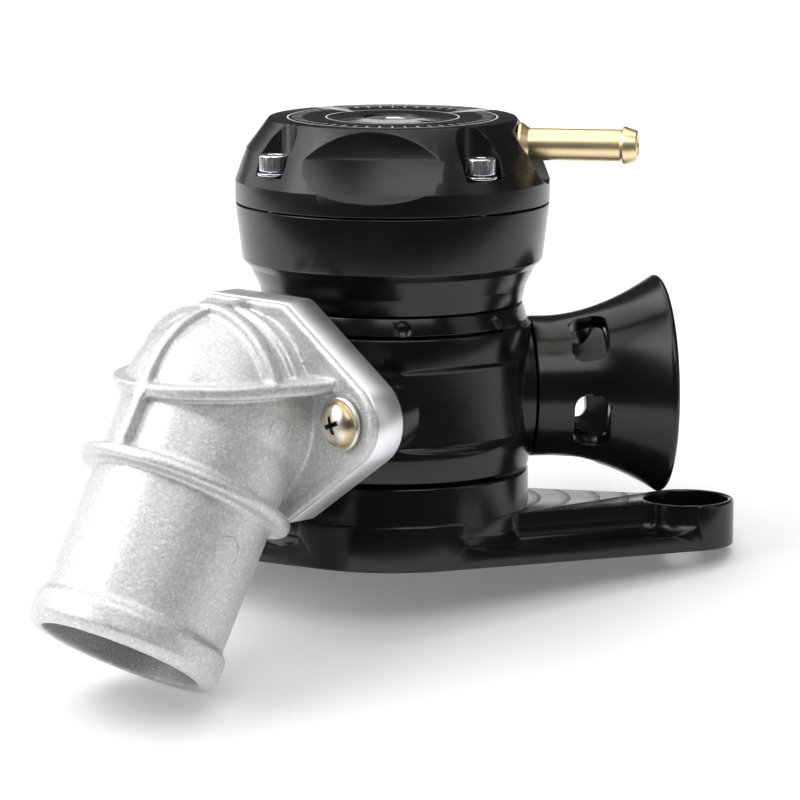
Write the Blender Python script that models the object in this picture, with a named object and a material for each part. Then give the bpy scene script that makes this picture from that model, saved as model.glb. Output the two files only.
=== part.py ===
# Dual-outlet blow-off valve, modelled as an assembly of separate pieces.
# The origin is on the bore axis in the mounting face of the base, +Z runs up the bore
# and +X points along the bolt line to the long ear. All named sizes are millimetres and
# degrees. An azimuth starts at -Y and grows towards +X.

import math

import bmesh
import bpy
from mathutils import Matrix, Vector
from mathutils.geometry import convex_hull_2d

MM = 0.001
CREASE_ANGLE = 32.0
SEGMENTS_BODY = 28
SEGMENTS_CORE = 24
CLIP_SEGMENT_COUNT = 20
SCREW_SEGMENT_COUNT = 16
DRILL_SEGMENT_COUNT = 8
FINE_SEGMENT_COUNT = 12
SEAL_SIDES = 4
EDGE_BREAK = 0.35

# Clearances
GAP = 0.3
SEAL_GAP = 0.2
CUT_OVER = 1.0
WELD_DISTANCE = 0.02

# Radius of the valve body, which the base and the head follow
BODY_R = 26.1

# Base: plate with two unequal ears, collar, inlet bore and socket
PLATE_THICKNESS = 8.7
PLATE_STEP = 0.1
PLATE_R = BODY_R - PLATE_STEP
EAR_R = 9.15
LONG_EAR_X = 55.7
SHORT_EAR_X = -38.0
EAR_Y = 3.8
EAR_WALL = 1.1
EAR_POCKET_R = EAR_R - EAR_WALL
EAR_POCKET_DEPTH = 4.5
BOLT_HOLE_R = 3.4
COLLAR_STEP = 0.4
COLLAR_R = PLATE_R - COLLAR_STEP
COLLAR_HEIGHT = 7.0
COLLAR_WALL = 4.3
SOCKET_R = COLLAR_R - COLLAR_WALL
SOCKET_DEPTH = 6.7
SOCKET_LEDGE = 6.3
INLET_R = SOCKET_R - SOCKET_LEDGE
INLET_LEAD = 1.5
FACE_GROOVE_INSET = 0.7
FACE_GROOVE_R = SOCKET_R - FACE_GROOVE_INSET
FACE_GROOVE_WIDTH = 2.6
FACE_GROOVE_DEPTH = 2.2
FACE_SEAL_WIRE = 0.9
REBATE_FLOOR = 3.2
REBATE_DEPTH = 6.3
REBATE_LIP = 0.2
REBATE_TOOL_R = 2.75
REBATE_CORNER_R = 3.2
REBATE_RUN_OUT = 10.0

# Valve body
BODY_HEIGHT = 27.0
BODY_GROOVE = 0.8
BODY_TAPER = 0.5
BODY_TAPER_HEIGHT = 4.5
BODY_EDGE = 0.4
SPIGOT_LENGTH = 7.1
SPIGOT_SEAL_RISE = 2.6
SPIGOT_SEAL_WIRE = 0.8
BODY_WALL = 4.1
SLEEVE_BORE_R = BODY_R - BODY_WALL
SEAT_WIDTH = 4.7
SEAT_R = SLEEVE_BORE_R - SEAT_WIDTH
SEAT_RISE = 0.5
RETAINER_WIRE = 0.5
RETAINER_RISE = 1.7
BODY_RING_OPENING = 18.0
SLEEVE_RING_OPENING = 24.0
SNAP_DROP = 0.9
RELIEF_AZIMUTH = 30.0
RELIEF_HALF_ANGLE = 33.0
RELIEF_DEPTH = 1.2
RELIEF_HEIGHT = 17.0
RELIEF_RISE = 5.1

# Trumpet and its port
TRUMPET_AZIMUTH = 98.0
TRUMPET_RISE = 13.8
TRUMPET_BOSS_R = 13.0
TRUMPET_SOCKET_WALL = 1.0
TRUMPET_SPIGOT_R = TRUMPET_BOSS_R - TRUMPET_SOCKET_WALL
TRUMPET_SPIGOT_WALL = 2.0
TRUMPET_BORE_R = TRUMPET_SPIGOT_R - TRUMPET_SPIGOT_WALL
TRUMPET_SPOT_DEPTH = 0.7
TRUMPET_FACE = BODY_R - TRUMPET_SPOT_DEPTH
TRUMPET_LENGTH = 25.6
TRUMPET_SHOULDER = 0.3
TRUMPET_NECK_R = TRUMPET_BOSS_R + TRUMPET_SHOULDER
TRUMPET_NECK_LENGTH = 3.3
TRUMPET_MOUTH_R = 20.6
TRUMPET_WALL = 2.1
TRUMPET_CURVE = 1.9
TRUMPET_SPIGOT_LENGTH = 2.5
TRUMPET_SEAL_WIRE = 0.45
WINDOW_COUNT = 5
WINDOW_LENGTH = 6.5
WINDOW_WIDTH = 10.6
WINDOW_CORNER_R = 2.6
WINDOW_CENTRE = 10.2
WINDOW_PHASE = 130.0

# Elbow port on the valve body
ELBOW_AZIMUTH = -45.0
ELBOW_RISE = 14.7
ELBOW_PAD_RISE = 4.1
ELBOW_FACE = BODY_R + ELBOW_PAD_RISE
ELBOW_PAD_R = 12.0
ELBOW_PAD_SPREAD = 4.0
ELBOW_PORT_WALL = 2.3
ELBOW_PORT_R = ELBOW_PAD_R - ELBOW_PORT_WALL
ELBOW_LUG_THICKNESS = 9.2
ELBOW_SEAL_WIRE = 0.5
ELBOW_SEAL_LAND = 0.7

# Cast elbow: flange, bend, pipe and ribs
BALL_R = 17.9
FLANGE_THICKNESS = 7.0
FLANGE_MARGIN = 2.5
FLANGE_HALF_HEIGHT = BALL_R + FLANGE_MARGIN
FLANGE_FLAT = 12.2
FLANGE_CORNER_R = 3.0
FLANGE_EAR_R = 8.5
ELBOW_SCREW_SPREAD = 25.0
LUG_STEP = 0.85
ELBOW_LUG_R = FLANGE_EAR_R - LUG_STEP
LUG_OVERRUN = 3.0
ELBOW_LUG_REACH = ELBOW_SCREW_SPREAD + LUG_OVERRUN
BEND_INSET = 3.3
BEND_DISTANCE = BALL_R - BEND_INSET
BEND_LIFT = 0.5
BEND_ANGLE = 60.0
NECK_STEP = 0.3
NECK_R = BALL_R - NECK_STEP
BALL_WALL = 3.6
BALL_BORE_R = BALL_R - BALL_WALL
BORE_STEP = 1.1
ELBOW_BORE_R = BALL_BORE_R - BORE_STEP
BALL_SKIRT = -25.0
PIPE_STEP = 0.8
PIPE_R = BALL_R - PIPE_STEP
PIPE_WALL = 2.2
PIPE_BORE_R = PIPE_R - PIPE_WALL
PIPE_BORE_START = 4.29
PIPE_LENGTH = 48.5
BEAD_HEIGHT = 1.2
BEAD_R = PIPE_R + BEAD_HEIGHT
BEAD_LENGTH = 7.0
PIPE_RING_HEIGHT = 3.2
PIPE_RING_R = PIPE_R + PIPE_RING_HEIGHT
PIPE_RING_START = 14.8
PIPE_RING_WIDTH = 2.5
RIB_THICKNESS = 2.4
RIB_HEIGHT = 1.6
RIB_R = BALL_R + RIB_HEIGHT
SHELF_HEIGHT = 1.0
SHELF_R = BALL_R + SHELF_HEIGHT
SHELF_LIFT = 5.8
SHELF_REACH = 23.5
ARCH_HEIGHT = 2.0
ARCH_R = BALL_R + ARCH_HEIGHT
ARCH_OFFSET = 1.8
STEP_HEIGHT = 0.9
STEP_R = BALL_R + STEP_HEIGHT
STEP_OFFSET = -4.0
STEP_THICKNESS = 1.6

# Index ring and bias sleeve
RING_HEIGHT = 3.3
RING_GAP = 0.4
RING_STEP = 0.6
RING_R = BODY_R - RING_STEP
RING_TAPER = 1.1
DIMPLE_COUNT = 8
DIMPLE_R = 1.5
DIMPLE_DEPTH = 0.9
DIMPLE_PHASE = 4.4
SLEEVE_WALL = 3.1
SLEEVE_TOP_RISE = 3.5
SLEEVE_WINDOW_START = -45.0
SLEEVE_WINDOW_SWEEP = 136.0
SLEEVE_WINDOW_SILL = 2.1
SLEEVE_WINDOW_HEIGHT = 21.5

# Upper body
UPPER_HEIGHT = 18.5
UPPER_OVERHANG = 3.35
UPPER_R = BODY_R + UPPER_OVERHANG
WAIST_INSET = 1.25
UPPER_WAIST_R = UPPER_R - WAIST_INSET
SHOULDER_INSET = 2.65
UPPER_SHOULDER_R = UPPER_R - SHOULDER_INSET
NECK_INSET = 4.35
UPPER_NECK_R = UPPER_R - NECK_INSET
FOOT_INSET = 5.1
UPPER_FOOT_R = UPPER_R - FOOT_INSET
UPPER_NECK_HEIGHT = 3.1
UPPER_SHOULDER_HEIGHT = 6.6
UPPER_WAIST_HEIGHT = 8.0
CHAMBER_STEP = 0.3
CHAMBER_R = SLEEVE_BORE_R + CHAMBER_STEP
CAP_SEAL_MARGIN = 1.6
CAP_SEAL_R = CHAMBER_R + CAP_SEAL_MARGIN
CAP_SEAL_WIRE = 0.5
SCREW_DEPTH = 6.0

# Cap with three chamfers, screw pockets, coves and nipple spot face
CAP_HEIGHT = 15.5
CAP_SEAM_BREAK = 0.3
CAP_RIM_HEIGHT = 4.0
CAP_LOW_INSET = 0.75
CAP_LOW_HEIGHT = 6.1
CAP_HIGH_INSET = 2.15
CAP_HIGH_HEIGHT = 10.0
CAP_FACE_INSET = 6.25
CAP_FACE_R = UPPER_R - CAP_FACE_INSET
CAVITY_STEP = 0.2
CAVITY_R = CHAMBER_R + CAVITY_STEP
CAVITY_HEIGHT = 4.7
CROWN_INSET = 2.5
CROWN_R = CAVITY_R - CROWN_INSET
CROWN_HEIGHT = 7.3
CAP_BOSS_R = 8.0
CAP_BOSS_DROP = 1.6
SCREW_INSET = 2.45
SCREW_PITCH_R = UPPER_R - SCREW_INSET
SCREW_NAMES = ("front_left", "front_right", "back_right", "back_left")
SCREW_PHASE = -53.5
POCKET_FLOOR = 6.1
COVE_R = 14.7
COVE_OFFSET = 8.75
COVE_DISTANCE = UPPER_R + COVE_OFFSET
COVE_DROP = 1.1
COVE_AZIMUTHS = (-8.5, 171.5)

# Vacuum nipple
NIPPLE_AZIMUTH = 81.0
NIPPLE_DROP = 4.7
NIPPLE_SPOT_R = 7.3
NIPPLE_SPOT_DEPTH = 5.85
NIPPLE_FACE = UPPER_R - NIPPLE_SPOT_DEPTH
NIPPLE_TUBE_R = 3.0
NIPPLE_FLARE_HEIGHT = 1.0
NIPPLE_FLARE_R = NIPPLE_TUBE_R + NIPPLE_FLARE_HEIGHT
NIPPLE_BEAD_HEIGHT = 0.65
NIPPLE_BEAD_R = NIPPLE_TUBE_R + NIPPLE_BEAD_HEIGHT
NIPPLE_TIP_INSET = 0.2
NIPPLE_TIP_R = NIPPLE_TUBE_R - NIPPLE_TIP_INSET
NIPPLE_LENGTH = 22.2
NIPPLE_WALL = 1.4
NIPPLE_BORE_R = NIPPLE_TUBE_R - NIPPLE_WALL
NIPPLE_THREAD_STEP = 0.7
NIPPLE_THREAD_R = NIPPLE_TUBE_R - NIPPLE_THREAD_STEP
NIPPLE_THREAD_LENGTH = 6.2
NIPPLE_SEAL_WIRE = 0.35
PASSAGE_R = 1.5
PASSAGE_INSET = 8.6
PASSAGE_DISTANCE = NIPPLE_FACE - PASSAGE_INSET

# Fasteners
M3_R = 1.25
M3_HEAD_R = 2.75
M3_HEAD_HEIGHT = 3.0
M3_SOCKET_R = 1.45
M3_SOCKET_DEPTH = 1.6
WASHER_MARGIN = 0.35
WASHER_R = M3_HEAD_R + WASHER_MARGIN
WASHER_THICKNESS = 0.5
POCKET_CLEARANCE = 1.1
POCKET_R = WASHER_R + POCKET_CLEARANCE
HOLE_GAP = 0.25
M5_R = 2.45
M5_FLANGE_R = 4.9
M5_FLANGE_HEIGHT = 0.9
M5_HEAD_R = 4.0
M5_HEAD_HEIGHT = 3.0
M5_CROSS_WIDTH = 1.1
M5_CROSS_LENGTH = 4.6
M5_CROSS_DEPTH = 1.8
M5_LENGTH = 14.5

# Spring adjuster
ADJUSTER_HEAD_R = 5.2
ADJUSTER_HEAD_HEIGHT = 1.6
ADJUSTER_SINK = 0.3
ADJUSTER_SHANK_R = 2.9
ADJUSTER_LENGTH = 21.5
ADJUSTER_SOCKET_R = 2.3
ADJUSTER_SEAL_WIRE = 0.45
ADJUSTER_SEAL_DROP = 4.0
CLIP_THICKNESS = 0.6
CLIP_R = 5.0
CLIP_GROOVE_R = 2.2
CLIP_START = 40.0
CLIP_SWEEP = 280.0
SPRING_SEAT_CLEARANCE = 2.8
SPRING_SEAT_THICKNESS = 2.0
SPRING_SEAT_HUB = 2.0
SPRING_SEAT_DROP = 15.0

# Piston and spring
PISTON_WALL = 2.4
PISTON_RUNNING_GAP = 0.4
PISTON_FLOOR = 3.3
PISTON_FLANGE_THICKNESS = 3.8
PISTON_FLANGE_RISE = 0.7
PISTON_SEAL_WIRE = 0.55
BAND_RISE = 16.7
BAND_HEIGHT = 2.6
BAND_WALL = 0.5
BAND_OPENING = 4.0
SPRING_CLEARANCE = 4.8
SPRING_WIRE = 0.9
SPRING_TURNS = 8
SPRING_STEPS = 12
SPRING_SIDES = 5
SPRING_TOP_GAP = 0.3

# Heights that follow from the stack
COLLAR_TOP = PLATE_THICKNESS + COLLAR_HEIGHT
SOCKET_FLOOR = COLLAR_TOP - SOCKET_DEPTH
BODY_FOOT = COLLAR_TOP + BODY_GROOVE
BODY_TOP = BODY_FOOT + BODY_HEIGHT
SPIGOT_R = SOCKET_R - GAP
SPIGOT_END = BODY_FOOT - SPIGOT_LENGTH
SEAT_Z = BODY_FOOT + SEAT_RISE
TRUMPET_Z = BODY_FOOT + TRUMPET_RISE
ELBOW_Z = BODY_FOOT + ELBOW_RISE
SNAP_Z = BODY_TOP - SNAP_DROP
RETAINER_Z = SPIGOT_END + RETAINER_RISE
SPIGOT_SEAL_Z = RETAINER_Z + SPIGOT_SEAL_RISE
RING_Z = BODY_TOP + RING_GAP
NECK_Z = RING_Z + RING_HEIGHT + GAP
SEAM_Z = NECK_Z + UPPER_HEIGHT
CAP_Z = SEAM_Z + GAP
CAP_TOP = CAP_Z + CAP_HEIGHT
NIPPLE_Z = CAP_TOP - NIPPLE_DROP
SLEEVE_R = SLEEVE_BORE_R - GAP
SLEEVE_INNER_R = SLEEVE_R - SLEEVE_WALL
SLEEVE_Z = SEAT_Z + GAP
SLEEVE_TOP = NECK_Z + SLEEVE_TOP_RISE
PISTON_R = SLEEVE_INNER_R - PISTON_RUNNING_GAP
PISTON_INNER_R = PISTON_R - PISTON_WALL
SPRING_R = PISTON_INNER_R - SPRING_CLEARANCE
SPRING_SEAT_R = PISTON_INNER_R - SPRING_SEAT_CLEARANCE
PISTON_Z = SEAT_Z + GAP
PISTON_FLANGE_Z = SLEEVE_TOP + PISTON_FLANGE_RISE
PISTON_TOP = PISTON_FLANGE_Z + PISTON_FLANGE_THICKNESS
SPRING_SEAT_Z = CAP_TOP - SPRING_SEAT_DROP
SCREW_HOLE_R = M3_R + HOLE_GAP
ELBOW_BACK = ELBOW_FACE + GAP
FLANGE_FACE = ELBOW_BACK + FLANGE_THICKNESS
BEND_CENTRE = Vector((0, BEND_LIFT, ELBOW_BACK + BEND_DISTANCE))


def material(name, colour, metallic, roughness):
    mat = bpy.data.materials.new(name)
    mat.use_nodes = True
    shader = mat.node_tree.nodes["Principled BSDF"]
    shader.inputs["Base Color"].default_value = (*colour, 1.0)
    shader.inputs["Metallic"].default_value = metallic
    shader.inputs["Roughness"].default_value = roughness
    mat.diffuse_color = (*colour, 1.0)
    return mat


def shading_tree():
    # Smooth faces with a crease wherever two of them meet at more than the crease angle.
    tree = bpy.data.node_groups.new("crease_by_angle", "GeometryNodeTree")
    tree.interface.new_socket("Geometry", in_out="INPUT", socket_type="NodeSocketGeometry")
    tree.interface.new_socket("Geometry", in_out="OUTPUT", socket_type="NodeSocketGeometry")
    source = tree.nodes.new("NodeGroupInput")
    smooth = tree.nodes.new("GeometryNodeSetShadeSmooth")
    crease = tree.nodes.new("GeometryNodeSetShadeSmooth")
    crease.domain = "EDGE"
    crease.inputs["Shade Smooth"].default_value = False
    angle = tree.nodes.new("GeometryNodeInputMeshEdgeAngle")
    steep = tree.nodes.new("ShaderNodeMath")
    steep.operation = "GREATER_THAN"
    steep.inputs[1].default_value = math.radians(CREASE_ANGLE)
    result = tree.nodes.new("NodeGroupOutput")
    tree.links.new(source.outputs["Geometry"], smooth.inputs["Geometry"])
    tree.links.new(smooth.outputs["Geometry"], crease.inputs["Geometry"])
    tree.links.new(angle.outputs["Unsigned Angle"], steep.inputs[0])
    tree.links.new(steep.outputs["Value"], crease.inputs["Selection"])
    tree.links.new(crease.outputs["Geometry"], result.inputs["Geometry"])
    return tree


def add(name, bm, mat=None, matrix=None, parent=None):
    bmesh.ops.recalc_face_normals(bm, faces=bm.faces)
    mesh = bpy.data.meshes.new(name)
    bm.to_mesh(mesh)
    bm.free()
    obj = bpy.data.objects.new(name, mesh)
    bpy.context.scene.collection.objects.link(obj)
    obj.parent = parent
    if matrix is not None:
        obj.matrix_basis = matrix
    if mat is not None:
        mesh.materials.append(mat)
    return obj


def finish(obj):
    # After every cut and fusion of the piece come one weld and the crease shading.
    weld = obj.modifiers.new("weld", "WELD")
    weld.merge_threshold = WELD_DISTANCE * MM
    obj.modifiers.new("shading", "NODES").node_group = bpy.data.node_groups["crease_by_angle"]
    return obj


def boolean(obj, bm, matrix, operation):
    count = len([mod for mod in obj.modifiers if mod.type == "BOOLEAN"])
    tool = add(f"{obj.name}_{operation.lower()}_{count + 1}", bm, matrix=matrix, parent=obj)
    tool.display_type = "WIRE"
    tool.hide_render = True
    mod = obj.modifiers.new(operation.lower(), "BOOLEAN")
    mod.operation = operation
    mod.solver = "EXACT"
    mod.object = tool


def cut(obj, bm, matrix=None):
    boolean(obj, bm, matrix, "DIFFERENCE")


def fuse(obj, bm, matrix=None):
    boolean(obj, bm, matrix, "UNION")


def break_edges(obj, width=EDGE_BREAK, limit=50.0):
    mod = obj.modifiers.new("edge_break", "BEVEL")
    mod.width = width * MM
    mod.segments = 1
    mod.limit_method = "ANGLE"
    mod.angle_limit = math.radians(limit)


def arc(x, y, radius, start, end, count):
    points = []
    for k in range(count + 1):
        angle = math.radians(start + (end - start) * k / count)
        points.append((x + radius * math.cos(angle), y + radius * math.sin(angle)))
    return points


def circle(x, y, radius, count):
    return arc(x, y, radius, 0, 360, count)[:-1]


def hull(points):
    return [points[i] for i in convex_hull_2d(points)]


def rounded_box(width, height, radius, steps=4):
    points = []
    for k, (sx, sy) in enumerate(((1, 1), (-1, 1), (-1, -1), (1, -1))):
        x = sx * (width / 2 - radius)
        y = sy * (height / 2 - radius)
        points += arc(x, y, radius, 90 * k, 90 * k + 90, steps)
    return points


def loft(levels):
    # Outlines with equal point counts, each at its height, skinned from first to last.
    bm = bmesh.new()
    rings = []
    for outline, height in levels:
        rings.append([bm.verts.new(Vector((x, y, height)) * MM) for x, y in outline])
    for low, high in zip(rings, rings[1:]):
        for k in range(len(low)):
            n = (k + 1) % len(low)
            bm.faces.new((low[k], low[n], high[n], high[k]))
    bm.faces.new(rings[0][::-1])
    bm.faces.new(rings[-1])
    return bm


def prism(outline, z0, z1):
    return loft(((outline, z0), (outline, z1)))


def turned(profile, segments=SEGMENTS_CORE, start=0.0, sweep=360.0):
    # A closed (radius, height) outline turned about Z; points on the axis become poles.
    bm = bmesh.new()
    closed = sweep == 360.0
    poles = {}
    for i, (radius, height) in enumerate(profile):
        if radius == 0:
            poles[i] = bm.verts.new(Vector((0, 0, height)) * MM)
    loops = []
    for k in range(segments if closed else segments + 1):
        angle = math.radians(start + sweep * k / segments)
        loop = []
        for i, (radius, height) in enumerate(profile):
            place = Vector((radius * math.cos(angle), radius * math.sin(angle), height)) * MM
            loop.append(poles[i] if i in poles else bm.verts.new(place))
        loops.append(loop)
    following = loops[1:] + loops[:1] if closed else loops[1:]
    for here, there in zip(loops, following):
        for i in range(len(profile)):
            n = (i + 1) % len(profile)
            corners = list(dict.fromkeys((here[i], here[n], there[n], there[i])))
            if len(corners) > 2:
                bm.faces.new(corners)
    if not closed:
        bm.faces.new(loops[0])
        bm.faces.new(loops[-1])
    return bm


def rod(radius, z0, z1, segments=SEGMENTS_CORE):
    return turned(((0, z0), (radius, z0), (radius, z1), (0, z1)), segments)


def tube(inner, outer, z0, z1, segments=SEGMENTS_CORE):
    return turned(((inner, z0), (outer, z0), (outer, z1), (inner, z1)), segments)


def o_ring(major, wire, z, segments=SEGMENTS_BODY):
    return turned(circle(major, z, wire, SEAL_SIDES), segments)


def split_ring(major, wire, z, opening):
    return turned(circle(major, z, wire, SEAL_SIDES), SEGMENTS_CORE, opening / 2, 360 - opening)


def repeated(shape, places):
    # One mesh that holds a copy of the shape at each placement.
    mesh = bpy.data.meshes.new("pattern")
    shape.to_mesh(mesh)
    shape.free()
    bm = bmesh.new()
    for place in places:
        first = len(bm.verts)
        bm.from_mesh(mesh)
        bm.verts.ensure_lookup_table()
        bmesh.ops.transform(bm, matrix=place, verts=bm.verts[first:])
    bpy.data.meshes.remove(mesh)
    return bm


def shift(x=0.0, y=0.0, z=0.0):
    return Matrix.Translation(Vector((x, y, z)) * MM)


def turn(angle, axis="Z"):
    return Matrix.Rotation(math.radians(angle), 4, axis)


def polar(azimuth, radius):
    angle = math.radians(azimuth)
    return radius * math.sin(angle), -radius * math.cos(angle)


def port_frame(azimuth, height):
    # Local X runs to the right along the port face, Y up and Z outwards from the bore.
    return turn(azimuth) @ shift(z=height) @ turn(90, "X")


def rebate_wall(length, offset):
    # Half plan of one flank: collar, web and ear walls joined by the cutter's corners,
    # with the bore axis at the origin, the flank along X and outwards along Y.
    collar_r = PLATE_R - REBATE_LIP
    ear_r = EAR_R - REBATE_LIP
    ear_y = PLATE_R - EAR_R
    web_y = PLATE_R - REBATE_DEPTH
    corner_y = web_y + REBATE_CORNER_R
    collar_corner = math.sqrt((collar_r + REBATE_CORNER_R) ** 2 - corner_y ** 2)
    ear_corner = length - math.sqrt((ear_r + REBATE_CORNER_R) ** 2 - (corner_y - ear_y) ** 2)
    collar_angle = math.degrees(math.atan2(corner_y, collar_corner))
    ear_angle = math.degrees(math.atan2(corner_y - ear_y, ear_corner - length))
    corner_r = REBATE_CORNER_R - offset
    return (arc(0, 0, collar_r + offset, 90 - REBATE_RUN_OUT, collar_angle, 2)
            + arc(collar_corner, corner_y, corner_r, collar_angle - 180, -90, 3)[1:]
            + arc(ear_corner, corner_y, corner_r, -90, ear_angle - 180, 3)
            + arc(length, ear_y, ear_r + offset, ear_angle, 90 + REBATE_RUN_OUT, 3)[1:])


def rebate(length):
    # Ball-nosed cut along a flank, open outwards, with its fillet stepped up the wall.
    beyond = PLATE_R + REBATE_DEPTH
    levels = []
    steps = 3
    for k in range(steps + 1):
        angle = math.radians(90 * k / steps)
        offset = REBATE_TOOL_R * (1 - math.sin(angle))
        height = REBATE_FLOOR + REBATE_TOOL_R * (1 - math.cos(angle))
        levels.append((offset, height))
    levels.append((0, PLATE_THICKNESS + CUT_OVER))
    outlines = []
    for offset, height in levels:
        wall = rebate_wall(length, offset)
        outlines.append((wall + [(length, beyond), (0, beyond)], height))
    return loft(outlines)


def flank_frame(ear_x, side):
    # Turns a half plan to the flank of the ear at ear_x, on the +Y or the -Y side.
    reach = math.hypot(ear_x, EAR_Y)
    bearing = math.atan2(EAR_Y * side, ear_x * math.copysign(1, ear_x))
    slope = math.asin((PLATE_R - EAR_R) / reach)
    frame = Matrix.Diagonal((math.copysign(1, ear_x), side, 1, 1))
    return frame @ Matrix.Rotation(bearing - slope, 4, "Z")


def build_base(black, rubber, steel):
    ears = (LONG_EAR_X, SHORT_EAR_X)
    outline = circle(0, 0, PLATE_R, SEGMENTS_BODY)
    for x in ears:
        outline += circle(x, EAR_Y, EAR_R, SEGMENTS_CORE)
    base = add("base_flange", prism(hull(outline), 0, PLATE_THICKNESS), black)
    break_edges(base)
    fuse(base, turned(((0, CUT_OVER), (COLLAR_R, CUT_OVER), (COLLAR_R, COLLAR_TOP - EDGE_BREAK),
                       (COLLAR_R - EDGE_BREAK, COLLAR_TOP), (0, COLLAR_TOP)), SEGMENTS_BODY))
    snap_r = SOCKET_R + RETAINER_WIRE + GAP
    snap_half = RETAINER_WIRE + GAP
    cut(base, turned(((0, -CUT_OVER), (INLET_R + INLET_LEAD + CUT_OVER, -CUT_OVER),
                      (INLET_R, INLET_LEAD), (INLET_R, SOCKET_FLOOR), (SOCKET_R, SOCKET_FLOOR),
                      (SOCKET_R, RETAINER_Z - snap_half), (snap_r, RETAINER_Z - snap_half),
                      (snap_r, RETAINER_Z + snap_half), (SOCKET_R, RETAINER_Z + snap_half),
                      (SOCKET_R, COLLAR_TOP - EDGE_BREAK),
                      (SOCKET_R + EDGE_BREAK + CUT_OVER, COLLAR_TOP + CUT_OVER),
                      (0, COLLAR_TOP + CUT_OVER)), SEGMENTS_BODY))
    cut(base, tube(FACE_GROOVE_R - FACE_GROOVE_WIDTH / 2, FACE_GROOVE_R + FACE_GROOVE_WIDTH / 2,
                   -CUT_OVER, FACE_GROOVE_DEPTH, SEGMENTS_BODY), turn(90 / SEGMENTS_BODY))
    pocket_floor = PLATE_THICKNESS - EAR_POCKET_DEPTH
    bolt = turned(((0, -CUT_OVER), (BOLT_HOLE_R, -CUT_OVER), (BOLT_HOLE_R, pocket_floor),
                   (EAR_POCKET_R, pocket_floor), (EAR_POCKET_R, PLATE_THICKNESS + CUT_OVER),
                   (0, PLATE_THICKNESS + CUT_OVER)))
    cut(base, repeated(bolt, [shift(x, EAR_Y) for x in ears]))
    for x in ears:
        length = math.sqrt(x ** 2 + EAR_Y ** 2 - (PLATE_R - EAR_R) ** 2)
        cut(base, repeated(rebate(length), [flank_frame(x, side) for side in (1, -1)]))
    finish(base)

    finish(add("flange_o_ring", o_ring(FACE_GROOVE_R, FACE_SEAL_WIRE, FACE_SEAL_WIRE + GAP),
               rubber))
    finish(add("body_o_ring", o_ring(SPIGOT_R - SEAL_GAP - SPIGOT_SEAL_WIRE + GAP,
                                     SPIGOT_SEAL_WIRE, SPIGOT_SEAL_Z), rubber))
    finish(add("body_retaining_ring",
               split_ring(SOCKET_R - GAP / 2, RETAINER_WIRE, RETAINER_Z, BODY_RING_OPENING), steel))


def ring_groove(radius, depth, z, half):
    # Four profile points of a square groove, for an outline that is read upwards.
    return ((radius, z - half), (radius - depth, z - half),
            (radius - depth, z + half), (radius, z + half))


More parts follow.
